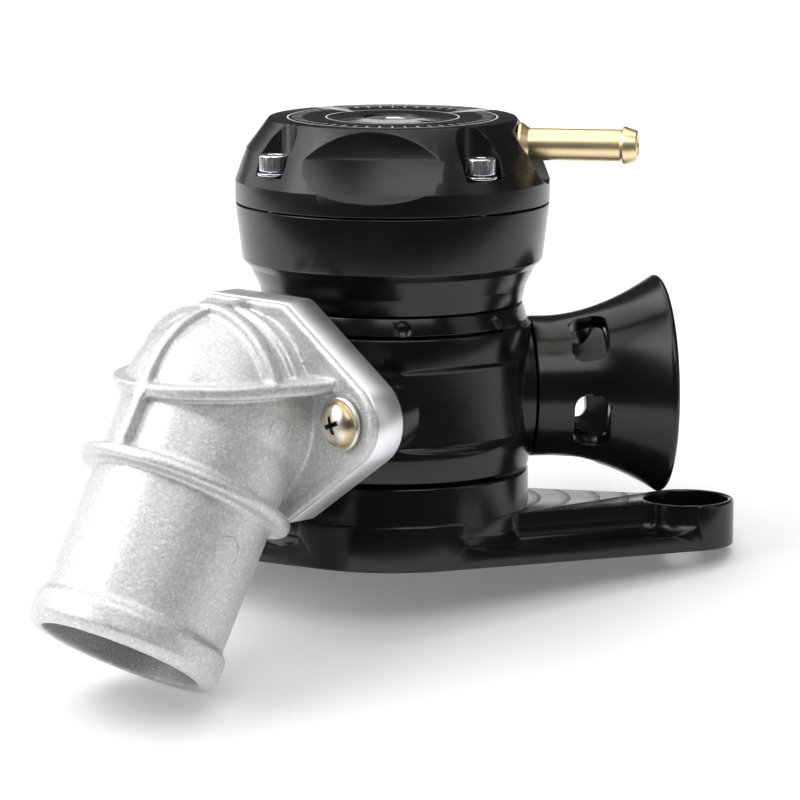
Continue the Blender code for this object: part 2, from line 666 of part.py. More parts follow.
def build_valve_body(black):
    seal_half = SPIGOT_SEAL_WIRE + SEAL_GAP
    seal_depth = 2 * SPIGOT_SEAL_WIRE + SEAL_GAP
    profile = [(0, SPIGOT_END), (SPIGOT_R - EDGE_BREAK, SPIGOT_END),
               (SPIGOT_R, SPIGOT_END + EDGE_BREAK)]
    profile += ring_groove(SPIGOT_R, RETAINER_WIRE + GAP, RETAINER_Z, RETAINER_WIRE + GAP)
    profile += ring_groove(SPIGOT_R, seal_depth, SPIGOT_SEAL_Z, seal_half)
    foot_r = BODY_R - BODY_TAPER
    profile += [(SPIGOT_R, BODY_FOOT), (foot_r - BODY_EDGE, BODY_FOOT),
                (foot_r, BODY_FOOT + BODY_EDGE), (BODY_R, BODY_FOOT + BODY_TAPER_HEIGHT),
                (BODY_R, BODY_TOP - BODY_EDGE), (BODY_R - BODY_EDGE, BODY_TOP), (0, BODY_TOP)]
    body = add("valve_body", turned(profile, SEGMENTS_BODY), black)
    cut_relief(body)

    trumpet = port_frame(TRUMPET_AZIMUTH, TRUMPET_Z)
    elbow = port_frame(ELBOW_AZIMUTH, ELBOW_Z)
    core = SLEEVE_BORE_R / 2
    fuse(body, rod(TRUMPET_BOSS_R, core, TRUMPET_FACE), trumpet)
    lug_x = ELBOW_LUG_REACH - ELBOW_LUG_R
    lug = (circle(-lug_x, 0, ELBOW_LUG_R, SEGMENTS_CORE)
           + circle(lug_x, 0, ELBOW_LUG_R, SEGMENTS_CORE))
    fuse(body, prism(hull(lug), ELBOW_FACE - ELBOW_LUG_THICKNESS, ELBOW_FACE), elbow)
    pad = (circle(-ELBOW_PAD_SPREAD, 0, ELBOW_PAD_R, SEGMENTS_CORE)
           + circle(ELBOW_PAD_SPREAD, 0, ELBOW_PAD_R, SEGMENTS_CORE))
    fuse(body, prism(hull(pad), core, ELBOW_FACE), elbow)

    snap_r = SLEEVE_BORE_R + RETAINER_WIRE + GAP
    snap_half = RETAINER_WIRE + GAP / 2
    cut(body, turned(((0, SPIGOT_END - CUT_OVER), (SEAT_R, SPIGOT_END - CUT_OVER), (SEAT_R, SEAT_Z),
                      (SLEEVE_BORE_R, SEAT_Z), (SLEEVE_BORE_R, SNAP_Z - snap_half),
                      (snap_r, SNAP_Z - snap_half), (snap_r, SNAP_Z + snap_half),
                      (SLEEVE_BORE_R, SNAP_Z + snap_half), (SLEEVE_BORE_R, BODY_TOP + CUT_OVER),
                      (0, BODY_TOP + CUT_OVER)), SEGMENTS_BODY))
    socket_r = TRUMPET_SPIGOT_R + GAP
    socket_z = TRUMPET_FACE - TRUMPET_SPIGOT_LENGTH - GAP
    spot_r = TRUMPET_BOSS_R + CUT_OVER
    cut(body, turned(((0, core), (TRUMPET_BORE_R, core), (TRUMPET_BORE_R, socket_z),
                      (socket_r, socket_z), (socket_r, TRUMPET_FACE), (spot_r, TRUMPET_FACE),
                      (spot_r, BODY_R + CUT_OVER), (0, BODY_R + CUT_OVER))), trumpet)
    cut(body, rod(ELBOW_PORT_R, core, ELBOW_FACE + CUT_OVER), elbow)
    groove_r = ELBOW_PORT_R + ELBOW_SEAL_LAND
    groove_width = 2 * (ELBOW_SEAL_WIRE + SEAL_GAP)
    cut(body, tube(groove_r, groove_r + groove_width,
                   ELBOW_FACE - 2 * ELBOW_SEAL_WIRE, ELBOW_FACE + CUT_OVER), elbow)
    screw = rod(M5_R + HOLE_GAP, ELBOW_FACE - M5_LENGTH, ELBOW_FACE + CUT_OVER, FINE_SEGMENT_COUNT)
    cut(body, repeated(screw, [shift(x=side * ELBOW_SCREW_SPREAD) for side in (-1, 1)]), elbow)
    finish(body)


def cut_relief(body):
    # A flatter cylinder about an offset axis, so the relief runs out before both bosses.
    floor_r = BODY_R - RELIEF_DEPTH
    flatten = BODY_R * (1 - math.cos(math.radians(RELIEF_HALF_ANGLE))) - RELIEF_DEPTH
    offset = (BODY_R ** 2 - floor_r ** 2) / (2 * flatten)
    radius = floor_r + offset
    z0 = BODY_FOOT + RELIEF_RISE
    z1 = z0 + RELIEF_HEIGHT
    bevel = RELIEF_DEPTH + GAP
    outer = radius + BODY_R
    edge = math.asin(BODY_R * math.sin(math.radians(RELIEF_HALF_ANGLE)) / radius)
    reach = math.degrees(edge + GAP * 2 / radius)
    sector = turned(((radius, z0 + bevel), (radius + bevel, z0), (outer, z0), (outer, z1),
                     (radius + bevel, z1), (radius, z1 - bevel)),
                    FINE_SEGMENT_COUNT, -90 - reach, 2 * reach)
    cut(body, sector, turn(RELIEF_AZIMUTH) @ shift(y=offset))


def build_trumpet(black, rubber):
    frame = port_frame(TRUMPET_AZIMUTH, TRUMPET_Z)
    foot = TRUMPET_FACE + GAP
    tip = foot + TRUMPET_LENGTH
    bell = foot + TRUMPET_NECK_LENGTH
    spigot = TRUMPET_FACE - TRUMPET_SPIGOT_LENGTH
    steps = 6
    outer = []
    inner = []
    for k in range(steps + 1):
        rise = (k / steps) ** TRUMPET_CURVE
        z = bell + (tip - bell) * k / steps
        outer.append((TRUMPET_NECK_R + (TRUMPET_MOUTH_R - TRUMPET_NECK_R) * rise, z))
        mouth = TRUMPET_MOUTH_R - TRUMPET_WALL
        inner.append((TRUMPET_BORE_R + (mouth - TRUMPET_BORE_R) * rise, z))
    rim_r = (outer[-1][0] + inner[-1][0]) / 2
    rim = arc(rim_r, tip, TRUMPET_WALL / 2, 0, 180, 4)[1:-1]
    rim = [(r, z - TRUMPET_WALL / 2) for r, z in rim]
    outer[-1] = (outer[-1][0], tip - TRUMPET_WALL / 2)
    inner[-1] = (inner[-1][0], tip - TRUMPET_WALL / 2)
    profile = [(TRUMPET_BORE_R, spigot), (TRUMPET_SPIGOT_R - EDGE_BREAK, spigot),
               (TRUMPET_SPIGOT_R, spigot + EDGE_BREAK)]
    seal_z = (spigot + foot) / 2
    profile += ring_groove(TRUMPET_SPIGOT_R, 2 * TRUMPET_SEAL_WIRE + SEAL_GAP / 2, seal_z,
                           TRUMPET_SEAL_WIRE + SEAL_GAP)
    profile += [(TRUMPET_SPIGOT_R, foot), (TRUMPET_NECK_R - EDGE_BREAK, foot),
                (TRUMPET_NECK_R, foot + EDGE_BREAK)]
    profile += outer + rim + inner[::-1]
    horn = add("trumpet", turned(profile, SEGMENTS_BODY), black, frame)
    outline = rounded_box(WINDOW_WIDTH, WINDOW_LENGTH, WINDOW_CORNER_R, 2)
    window = prism(outline, TRUMPET_BORE_R - CUT_OVER, TRUMPET_MOUTH_R + TRUMPET_WALL)
    places = [turn(WINDOW_PHASE + 360 * k / WINDOW_COUNT) @ shift(z=foot + WINDOW_CENTRE)
              @ turn(90, "Z") @ turn(90, "X") for k in range(WINDOW_COUNT)]
    cut(horn, repeated(window, places))
    finish(horn)
    finish(add("trumpet_o_ring", o_ring(TRUMPET_SPIGOT_R - TRUMPET_SEAL_WIRE, TRUMPET_SEAL_WIRE,
                                        seal_z), rubber, frame))


def build_elbow(cast, rubber, steel):
    frame = port_frame(ELBOW_AZIMUTH, ELBOW_Z)
    corner_x = FLANGE_FLAT - FLANGE_CORNER_R
    corner_y = FLANGE_HALF_HEIGHT - FLANGE_CORNER_R
    points = []
    for sx in (-1, 1):
        points += circle(sx * ELBOW_SCREW_SPREAD, 0, FLANGE_EAR_R, SEGMENTS_CORE)
        for sy in (-1, 1):
            points += circle(sx * corner_x, sy * corner_y, FLANGE_CORNER_R, FINE_SEGMENT_COUNT)
    elbow = add("elbow", prism(hull(points), ELBOW_BACK, FLANGE_FACE), cast, frame)
    break_edges(elbow)

    to_bend = Matrix.Translation(BEND_CENTRE * MM)
    to_pipe = to_bend @ turn(BEND_ANGLE, "X")
    root = FLANGE_FACE - CUT_OVER - BEND_CENTRE.z
    fuse(elbow, rod(NECK_R, root, 0, SEGMENTS_BODY), to_bend)
    dome = arc(0, 0, BALL_R, BALL_SKIRT, 90, 7)
    dome = [(0, dome[0][1])] + dome[:-1] + [(0, BALL_R)]
    fuse(elbow, turned(dome, SEGMENTS_BODY), to_bend)
    fuse(elbow, turned(pipe_profile(), SEGMENTS_BODY), to_pipe)
    fuse_ribs(elbow, to_bend)

    cut(elbow, rod(ELBOW_BORE_R, ELBOW_BACK - CUT_OVER, BEND_CENTRE.z), shift(y=BEND_LIFT / 2))
    hollow = arc(0, 0, BALL_BORE_R, -90, 90, 8)
    hollow = [(0, -BALL_BORE_R)] + hollow[1:-1] + [(0, BALL_BORE_R)]
    cut(elbow, turned(hollow), to_bend @ turn(90, "Y"))
    cut(elbow, rod(PIPE_BORE_R, PIPE_BORE_START, PIPE_LENGTH + CUT_OVER), to_pipe)
    screw = rod(M5_R + HOLE_GAP, ELBOW_BACK - CUT_OVER, FLANGE_FACE + RIB_R, FINE_SEGMENT_COUNT)
    cut(elbow, repeated(screw, [shift(x=side * ELBOW_SCREW_SPREAD) for side in (-1, 1)]))
    finish(elbow)

    seal_r = ELBOW_PORT_R + ELBOW_SEAL_LAND + ELBOW_SEAL_WIRE + SEAL_GAP
    seal_z = ELBOW_FACE - ELBOW_SEAL_WIRE + GAP / 2
    finish(add("elbow_o_ring", o_ring(seal_r, ELBOW_SEAL_WIRE, seal_z), rubber, frame))
    for name, side in (("elbow_screw_left", -1), ("elbow_screw_right", 1)):
        build_pan_screw(name, steel, frame @ shift(x=side * ELBOW_SCREW_SPREAD, z=FLANGE_FACE))


def pipe_profile():
    bead = PIPE_LENGTH - BEAD_LENGTH
    lip = BEAD_R - PIPE_R
    ring_end = PIPE_RING_START + PIPE_RING_WIDTH
    edge = lip / 2
    return ((0, 0), (PIPE_R, 0), (PIPE_R, PIPE_RING_START), (PIPE_RING_R - edge, PIPE_RING_START),
            (PIPE_RING_R, PIPE_RING_START + edge), (PIPE_RING_R, ring_end - edge),
            (PIPE_RING_R - edge, ring_end), (PIPE_R, ring_end), (PIPE_R, bead),
            (PIPE_R + edge, bead + edge), (BEAD_R, bead + lip * 2), (BEAD_R, PIPE_LENGTH - lip * 1.5),
            (BEAD_R - edge, PIPE_LENGTH - edge), (PIPE_R, PIPE_LENGTH), (0, PIPE_LENGTH))


def fuse_ribs(elbow, to_bend):
    back = FLANGE_FACE - CUT_OVER - BEND_CENTRE.z
    half = RIB_THICKNESS / 2
    # The upright rib lies in the bend's plane: back to the flange, over the ball, down the pipe.
    crest = arc(0, 0, RIB_R, 90, 90 - BEND_ANGLE, 8)
    down = math.radians(-BEND_ANGLE)
    run = Vector((math.cos(down), math.sin(down))) * (PIPE_RING_START + CUT_OVER)
    heel = Vector(crest[-1]) + run
    upright = [(back, 0), (back, RIB_R)] + crest + [tuple(heel), tuple(run)]
    fuse(elbow, prism(upright[::-1], -half, half), to_bend @ turn(-90, "Y"))
    # The level shelf runs round the ball and out to both ears of the flange.
    shelf = hull([(-SHELF_REACH, back), (SHELF_REACH, back)] + arc(0, 0, SHELF_R, 0, 180, 18))
    fuse(elbow, prism(shelf, -half, half), to_bend @ shift(y=SHELF_LIFT) @ turn(90, "X"))
    # Two arches stand on the shelf, square to the flange's axis.
    for radius, offset, thickness in ((ARCH_R, ARCH_OFFSET, RIB_THICKNESS),
                                      (STEP_R, STEP_OFFSET, STEP_THICKNESS)):
        low = math.degrees(math.asin(SHELF_LIFT / radius))
        arch = arc(0, 0, radius, low, 180 - low, 18)
        fuse(elbow, prism(arch, offset - thickness / 2, offset + thickness / 2), to_bend)


def build_pan_screw(name, steel, matrix):
    head = arc(0, 0, M5_HEAD_R, 0, 90, 5)
    dome = [(r, M5_FLANGE_HEIGHT + GAP + z / M5_HEAD_R * (M5_HEAD_HEIGHT - M5_FLANGE_HEIGHT))
            for r, z in head[:-1]]
    profile = [(0, -M5_LENGTH), (M5_R - EDGE_BREAK, -M5_LENGTH), (M5_R, EDGE_BREAK - M5_LENGTH),
               (M5_R, GAP), (M5_FLANGE_R, GAP), (M5_FLANGE_R, GAP + M5_FLANGE_HEIGHT)]
    screw = add(name, turned(profile + dome + [(0, M5_HEAD_HEIGHT + GAP)], FINE_SEGMENT_COUNT), steel,
                matrix)
    arm = M5_CROSS_LENGTH / 2
    half = M5_CROSS_WIDTH / 2
    cross = [(arm, -half), (arm, half), (half, half), (half, arm), (-half, arm), (-half, half),
             (-arm, half), (-arm, -half), (-half, -half), (-half, -arm), (half, -arm), (half, -half)]
    top = M5_HEAD_HEIGHT + GAP
    cut(screw, prism(cross, top - M5_CROSS_DEPTH, top + CUT_OVER))
    finish(screw)


def build_sleeve_and_ring(black, steel, head):
    snap_half = RETAINER_WIRE + GAP / 2
    profile = [(SLEEVE_INNER_R, SLEEVE_Z), (SLEEVE_R - EDGE_BREAK, SLEEVE_Z),
               (SLEEVE_R, SLEEVE_Z + EDGE_BREAK)]
    profile += ring_groove(SLEEVE_R, RETAINER_WIRE + GAP, SNAP_Z, snap_half)
    profile += [(SLEEVE_R, SLEEVE_TOP - EDGE_BREAK), (SLEEVE_R - EDGE_BREAK, SLEEVE_TOP),
                (SLEEVE_INNER_R, SLEEVE_TOP)]
    sleeve = add("bias_sleeve", turned(profile), black, parent=head)
    sill = SLEEVE_Z + SLEEVE_WINDOW_SILL
    inner = SLEEVE_INNER_R - CUT_OVER
    outer = SLEEVE_R + CUT_OVER
    window = turned(((inner, sill), (outer, sill), (outer, sill + SLEEVE_WINDOW_HEIGHT),
                     (inner, sill + SLEEVE_WINDOW_HEIGHT)), FINE_SEGMENT_COUNT, SLEEVE_WINDOW_START - 90,
                    SLEEVE_WINDOW_SWEEP)
    cut(sleeve, window)
    finish(sleeve)
    finish(add("sleeve_retainer",
               split_ring(SLEEVE_BORE_R - GAP / 2, RETAINER_WIRE, SNAP_Z, SLEEVE_RING_OPENING), steel))

    top = RING_Z + RING_HEIGHT
    top_r = RING_R - RING_TAPER
    ring = add("bias_ring", turned(((SLEEVE_BORE_R, RING_Z), (RING_R - EDGE_BREAK / 2, RING_Z),
                                    (RING_R, RING_Z + EDGE_BREAK / 2),
                                    (top_r + EDGE_BREAK / 2, top - EDGE_BREAK / 2),
                                    (top_r, top), (SLEEVE_BORE_R, top)), SEGMENTS_BODY),
               black, parent=head)
    surface = RING_R - RING_TAPER / 2
    drill = turned(((0, surface - DIMPLE_DEPTH), (DIMPLE_R, surface), (DIMPLE_R, surface + DIMPLE_R),
                    (0, surface + DIMPLE_R)), DRILL_SEGMENT_COUNT)
    places = []
    for k in range(DIMPLE_COUNT):
        places.append(port_frame(DIMPLE_PHASE + 360 * k / DIMPLE_COUNT, RING_Z + RING_HEIGHT / 2))
    cut(ring, repeated(drill, places))
    finish(ring)


def screw_azimuth(index):
    return SCREW_PHASE + 360 * index / len(SCREW_NAMES)


def build_upper_body(black, rubber, head):
    step = EDGE_BREAK
    profile = [(SLEEVE_BORE_R, NECK_Z), (UPPER_FOOT_R, NECK_Z),
               (UPPER_NECK_R, NECK_Z + UPPER_NECK_HEIGHT),
               (UPPER_SHOULDER_R, NECK_Z + UPPER_SHOULDER_HEIGHT),
               (UPPER_WAIST_R, NECK_Z + UPPER_WAIST_HEIGHT),
               (UPPER_R, SEAM_Z - CAP_SEAM_BREAK), (UPPER_R - CAP_SEAM_BREAK, SEAM_Z)]
    seal_half = CAP_SEAL_WIRE + SEAL_GAP
    groove_z = SEAM_Z - 2 * CAP_SEAL_WIRE - SEAL_GAP
    profile += [(CAP_SEAL_R + seal_half, SEAM_Z), (CAP_SEAL_R + seal_half, groove_z),
                (CAP_SEAL_R - seal_half, groove_z), (CAP_SEAL_R - seal_half, SEAM_Z)]
    profile += [(CHAMBER_R, SEAM_Z), (CHAMBER_R, SLEEVE_TOP + step), (SLEEVE_BORE_R, SLEEVE_TOP)]
    upper = add("upper_body", turned(profile, SEGMENTS_BODY), black, parent=head)
    hole = rod(SCREW_HOLE_R, SEAM_Z - SCREW_DEPTH - GAP, SEAM_Z + CUT_OVER, FINE_SEGMENT_COUNT)
    places = [shift(*polar(screw_azimuth(k), SCREW_PITCH_R)) for k in range(len(SCREW_NAMES))]
    cut(upper, repeated(hole, places))
    finish(upper)
    seal_z = SEAM_Z - CAP_SEAL_WIRE
    finish(add("cap_o_ring", o_ring(CAP_SEAL_R, CAP_SEAL_WIRE, seal_z), rubber, parent=head))


def build_cap(black, head):
    profile = [(CAVITY_R, CAP_Z), (UPPER_R - CAP_SEAM_BREAK, CAP_Z), (UPPER_R, CAP_Z + CAP_SEAM_BREAK),
               (UPPER_R, CAP_Z + CAP_RIM_HEIGHT)]
    profile += [(UPPER_R - CAP_LOW_INSET, CAP_Z + CAP_LOW_HEIGHT),
                (UPPER_R - CAP_HIGH_INSET, CAP_Z + CAP_HIGH_HEIGHT)]
    head_floor = CAP_TOP - ADJUSTER_HEAD_HEIGHT - 2 * ADJUSTER_SINK
    head_r = ADJUSTER_HEAD_R + GAP
    shank_r = ADJUSTER_SHANK_R + GAP
    crown = CAP_Z + CROWN_HEIGHT
    profile += [(CAP_FACE_R, CAP_TOP), (head_r, CAP_TOP), (head_r, head_floor),
                (shank_r, head_floor), (shank_r, crown - CAP_BOSS_DROP),
                (CAP_BOSS_R, crown - CAP_BOSS_DROP), (CAP_BOSS_R, crown), (CROWN_R, crown),
                (CAVITY_R, CAP_Z + CAVITY_HEIGHT)]
    cap = add("cap", turned(profile, SEGMENTS_BODY), black, parent=head)

    floor = CAP_Z + POCKET_FLOOR
    pocket = turned(((0, CAP_Z - CUT_OVER), (SCREW_HOLE_R, CAP_Z - CUT_OVER), (SCREW_HOLE_R, floor),
                     (POCKET_R, floor), (POCKET_R, CAP_TOP + CUT_OVER), (0, CAP_TOP + CUT_OVER)),
                    SCREW_SEGMENT_COUNT)
    places = [shift(*polar(screw_azimuth(k), SCREW_PITCH_R)) for k in range(len(SCREW_NAMES))]
    cut(cap, repeated(pocket, places))
    cove = rod(COVE_R, -COVE_R, COVE_R, SEGMENTS_BODY)
    cove_z = CAP_TOP - COVE_DROP
    places = [port_frame(azimuth, cove_z) @ shift(z=COVE_DISTANCE) @ turn(90, "Y")
              for azimuth in COVE_AZIMUTHS]
    cut(cap, repeated(cove, places))

    thread_r = NIPPLE_THREAD_R + GAP
    seal_r = thread_r + 2 * NIPPLE_SEAL_WIRE + GAP
    seal_z = NIPPLE_FACE - 2 * NIPPLE_SEAL_WIRE - GAP
    bottom = PASSAGE_DISTANCE - PASSAGE_R
    reach = UPPER_R + CUT_OVER
    spot = turned(((0, bottom), (thread_r, bottom), (thread_r, seal_z), (seal_r, seal_z),
                   (seal_r, NIPPLE_FACE), (NIPPLE_SPOT_R, NIPPLE_FACE), (NIPPLE_SPOT_R, reach),
                   (0, reach)))
    cut(cap, spot, port_frame(NIPPLE_AZIMUTH, NIPPLE_Z))
    passage = rod(PASSAGE_R, CAP_Z, NIPPLE_Z, FINE_SEGMENT_COUNT)
    cut(cap, passage, shift(*polar(NIPPLE_AZIMUTH, PASSAGE_DISTANCE)))
    finish(cap)


def build_nipple(brass, rubber, head):
    frame = port_frame(NIPPLE_AZIMUTH, NIPPLE_Z)
    foot = NIPPLE_FACE + GAP
    tip = foot + NIPPLE_LENGTH
    flare = NIPPLE_FLARE_R - NIPPLE_TUBE_R
    barb = tip - 4 * (NIPPLE_BEAD_R - NIPPLE_TUBE_R)
    end = foot - NIPPLE_THREAD_LENGTH
    profile = ((NIPPLE_BORE_R, end), (NIPPLE_THREAD_R, end),
               (NIPPLE_THREAD_R, foot), (NIPPLE_FLARE_R, foot),
               (NIPPLE_FLARE_R, foot + flare / 2), (NIPPLE_TUBE_R, foot + 2 * flare),
               (NIPPLE_TUBE_R, barb - flare / 2), (NIPPLE_BEAD_R, barb),
               (NIPPLE_TIP_R, tip), (NIPPLE_BORE_R, tip))
    finish(add("vacuum_nipple", turned(profile, CLIP_SEGMENT_COUNT), brass, frame, head))
    seal_r = NIPPLE_THREAD_R + SEAL_GAP + NIPPLE_SEAL_WIRE + SEAL_GAP
    seal_z = NIPPLE_FACE - NIPPLE_SEAL_WIRE - SEAL_GAP / 2
    finish(add("nipple_seal", o_ring(seal_r, NIPPLE_SEAL_WIRE, seal_z, FINE_SEGMENT_COUNT), rubber, frame,
               head))


def build_cap_screws(steel, head):
    washer_z = CAP_Z + POCKET_FLOOR + GAP
    head_z = washer_z + WASHER_THICKNESS + GAP
    top = head_z + M3_HEAD_HEIGHT
    end = SEAM_Z - SCREW_DEPTH
    profile = ((0, end), (M3_R, end), (M3_R, head_z), (M3_HEAD_R, head_z),
               (M3_HEAD_R, top - EDGE_BREAK), (M3_HEAD_R - EDGE_BREAK, top), (0, top))
    for k, name in enumerate(SCREW_NAMES):
        place = shift(*polar(screw_azimuth(k), SCREW_PITCH_R))
        screw = add("cap_screw_" + name, turned(profile, FINE_SEGMENT_COUNT), steel, place, head)
        cut(screw, prism(circle(0, 0, M3_SOCKET_R, 6), top - M3_SOCKET_DEPTH, top + CUT_OVER))
        finish(screw)
        ring = tube(M3_R + HOLE_GAP, WASHER_R, washer_z, washer_z + WASHER_THICKNESS, FINE_SEGMENT_COUNT)
        finish(add("cap_washer_" + name, ring, steel, place, head))


def build_adjuster(steel, rubber, head):
    pivot = bpy.data.objects.new("adjuster_pivot", None)
    bpy.context.scene.collection.objects.link(pivot)
    pivot.parent = head
    top = CAP_TOP - ADJUSTER_SINK
    under = top - ADJUSTER_HEAD_HEIGHT
    boss = CAP_Z + CROWN_HEIGHT - CAP_BOSS_DROP
    clip_z = boss - GAP - CLIP_THICKNESS / 2
    clip_half = CLIP_THICKNESS / 2 + SEAL_GAP
    seal_z = under - ADJUSTER_SEAL_DROP
    seal_half = ADJUSTER_SEAL_WIRE + SEAL_GAP
    profile = [(0, top - ADJUSTER_LENGTH), (ADJUSTER_SHANK_R - EDGE_BREAK, top - ADJUSTER_LENGTH),
               (ADJUSTER_SHANK_R, top - ADJUSTER_LENGTH + EDGE_BREAK)]
    profile += ring_groove(ADJUSTER_SHANK_R, ADJUSTER_SHANK_R - CLIP_GROOVE_R, clip_z, clip_half)
    profile += ring_groove(ADJUSTER_SHANK_R, 2 * ADJUSTER_SEAL_WIRE, seal_z, seal_half)
    profile += [(ADJUSTER_SHANK_R, under), (ADJUSTER_HEAD_R, under),
                (ADJUSTER_HEAD_R, top - EDGE_BREAK), (ADJUSTER_HEAD_R - EDGE_BREAK, top), (0, top)]
    screw = add("adjuster_screw", turned(profile, SCREW_SEGMENT_COUNT), steel, parent=pivot)
    cut(screw, prism(circle(0, 0, ADJUSTER_SOCKET_R, 6), under + EDGE_BREAK, top + CUT_OVER))
    finish(screw)
    seal_r = ADJUSTER_SHANK_R - ADJUSTER_SEAL_WIRE + SEAL_GAP / 2
    finish(add("adjuster_o_ring", o_ring(seal_r, ADJUSTER_SEAL_WIRE, seal_z, FINE_SEGMENT_COUNT), rubber,
               parent=pivot))
    clip = turned(((CLIP_GROOVE_R + SEAL_GAP, clip_z - CLIP_THICKNESS / 2),
                   (CLIP_R, clip_z - CLIP_THICKNESS / 2), (CLIP_R, clip_z + CLIP_THICKNESS / 2),
                   (CLIP_GROOVE_R + SEAL_GAP, clip_z + CLIP_THICKNESS / 2)),
                  CLIP_SEGMENT_COUNT, CLIP_START, CLIP_SWEEP)
    finish(add("adjuster_clip", clip, steel, parent=pivot))

    seat_pivot = bpy.data.objects.new("spring_seat_slider", None)
    bpy.context.scene.collection.objects.link(seat_pivot)
    seat_pivot.parent = head
    low = SPRING_SEAT_Z
    high = low + SPRING_SEAT_THICKNESS
    bore = ADJUSTER_SHANK_R + GAP
    hub = (SPRING_R - SPRING_WIRE) * math.cos(math.pi / SPRING_STEPS) - GAP
    seat = turned(((bore, low - SPRING_SEAT_HUB), (hub, low - SPRING_SEAT_HUB), (hub, low),
                   (SPRING_SEAT_R, low), (SPRING_SEAT_R, high - EDGE_BREAK),
                   (SPRING_SEAT_R - EDGE_BREAK, high), (bore, high)))
    finish(add("spring_seat", seat, steel, parent=seat_pivot))


def build_piston(alloy, rubber, polymer, steel):
    pivot = bpy.data.objects.new("piston_slider", None)
    bpy.context.scene.collection.objects.link(pivot)
    flange_r = CHAMBER_R - GAP
    floor = PISTON_Z + PISTON_FLOOR
    band_z = PISTON_Z + BAND_RISE
    seal_z = PISTON_FLANGE_Z + PISTON_FLANGE_THICKNESS / 2
    profile = [(0, PISTON_Z), (PISTON_R - 2 * EDGE_BREAK, PISTON_Z),
               (PISTON_R, PISTON_Z + 2 * EDGE_BREAK)]
    profile += ring_groove(PISTON_R, BAND_WALL + SEAL_GAP, band_z, BAND_HEIGHT / 2 + SEAL_GAP)
    profile += [(PISTON_R, PISTON_FLANGE_Z), (flange_r, PISTON_FLANGE_Z)]
    profile += ring_groove(flange_r, 2 * PISTON_SEAL_WIRE + SEAL_GAP / 2, seal_z,
                           PISTON_SEAL_WIRE + SEAL_GAP)
    profile += [(flange_r, PISTON_TOP), (PISTON_INNER_R, PISTON_TOP), (PISTON_INNER_R, floor),
                (0, floor)]
    finish(add("piston", turned(profile), alloy, parent=pivot))
    finish(add("piston_o_ring", o_ring(flange_r - PISTON_SEAL_WIRE, PISTON_SEAL_WIRE, seal_z,
                                       SEGMENTS_CORE), rubber,
               parent=pivot))
    band_outer = PISTON_R + PISTON_RUNNING_GAP / 4
    band_ring = turned(((band_outer - BAND_WALL, band_z - BAND_HEIGHT / 2),
                        (band_outer, band_z - BAND_HEIGHT / 2), (band_outer, band_z + BAND_HEIGHT / 2),
                        (band_outer - BAND_WALL, band_z + BAND_HEIGHT / 2)),
                       SEGMENTS_CORE, BAND_OPENING / 2, 360 - BAND_OPENING)
    finish(add("piston_guide_band", band_ring, polymer, parent=pivot))
    build_spring(steel, floor + SPRING_TOP_GAP, SPRING_SEAT_Z - SPRING_TOP_GAP, pivot)


def build_spring(steel, z0, z1, pivot):
    # Closed end turns one wire apart, with the free turns sharing what height is left.
    dead = 2 * SPRING_WIRE + SEAL_GAP
    pitch = (z1 - z0 - 2 * SPRING_WIRE - 2 * dead) / (SPRING_TURNS - 2)
    bm = bmesh.new()
    rings = []
    for k in range(SPRING_TURNS * SPRING_STEPS + 1):
        turns = k / SPRING_STEPS
        rise = dead * min(turns, 1) + pitch * min(max(turns - 1, 0), SPRING_TURNS - 2)
        rise += dead * max(turns - SPRING_TURNS + 1, 0)
        lift = z0 + SPRING_WIRE + rise
        section = circle(SPRING_R, 0, SPRING_WIRE, SPRING_SIDES)
        rings.append([bm.verts.new(turn(360 * turns) @ Vector((r, 0, lift + z)) * MM)
                      for r, z in section])
    for here, there in zip(rings, rings[1:]):
        for i in range(SPRING_SIDES):
            n = (i + 1) % SPRING_SIDES
            bm.faces.new((here[i], here[n], there[n], there[i]))
    bm.faces.new(rings[0])
    bm.faces.new(rings[-1])
    finish(add("spring", bm, steel, parent=pivot))


def main():
    for obj in list(bpy.data.objects):
        bpy.data.objects.remove(obj)
    black = material("black_anodised_aluminium", (0.012, 0.012, 0.013), 0.9, 0.28)
    cast = material("cast_aluminium", (0.66, 0.67, 0.68), 0.85, 0.5)
    steel = material("zinc_steel", (0.62, 0.60, 0.55), 1.0, 0.3)
    brass = material("brass", (0.78, 0.58, 0.30), 1.0, 0.25)
    alloy = material("bare_aluminium", (0.78, 0.78, 0.79), 1.0, 0.35)
    rubber = material("black_rubber", (0.02, 0.02, 0.02), 0.0, 0.6)
    polymer = material("white_polymer", (0.8, 0.78, 0.72), 0.0, 0.5)
    shading_tree()
    head = bpy.data.objects.new("head_pivot", None)
    bpy.context.scene.collection.objects.link(head)

    build_base(black, rubber, steel)
    build_valve_body(black)
    build_trumpet(black, rubber)
    build_elbow(cast, rubber, steel)
    build_sleeve_and_ring(black, steel, head)
    build_upper_body(black, rubber, head)
    build_cap(black, head)
    build_nipple(brass, rubber, head)
    build_cap_screws(steel, head)
    build_adjuster(steel, rubber, head)
    build_piston(alloy, rubber, polymer, steel)


main()
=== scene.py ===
# Dual-outlet blow off valve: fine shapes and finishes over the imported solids.
# Lengths in the settings are millimetres, apart from the stage's, and angles are degrees. An
# azimuth starts at -Y and grows towards +X, as on the drawing of the part.
import math
import bmesh
import bpy
from mathutils import Matrix, Vector
from mathutils.bvhtree import BVHTree
from mathutils.geometry import convex_hull_2d
from types import SimpleNamespace


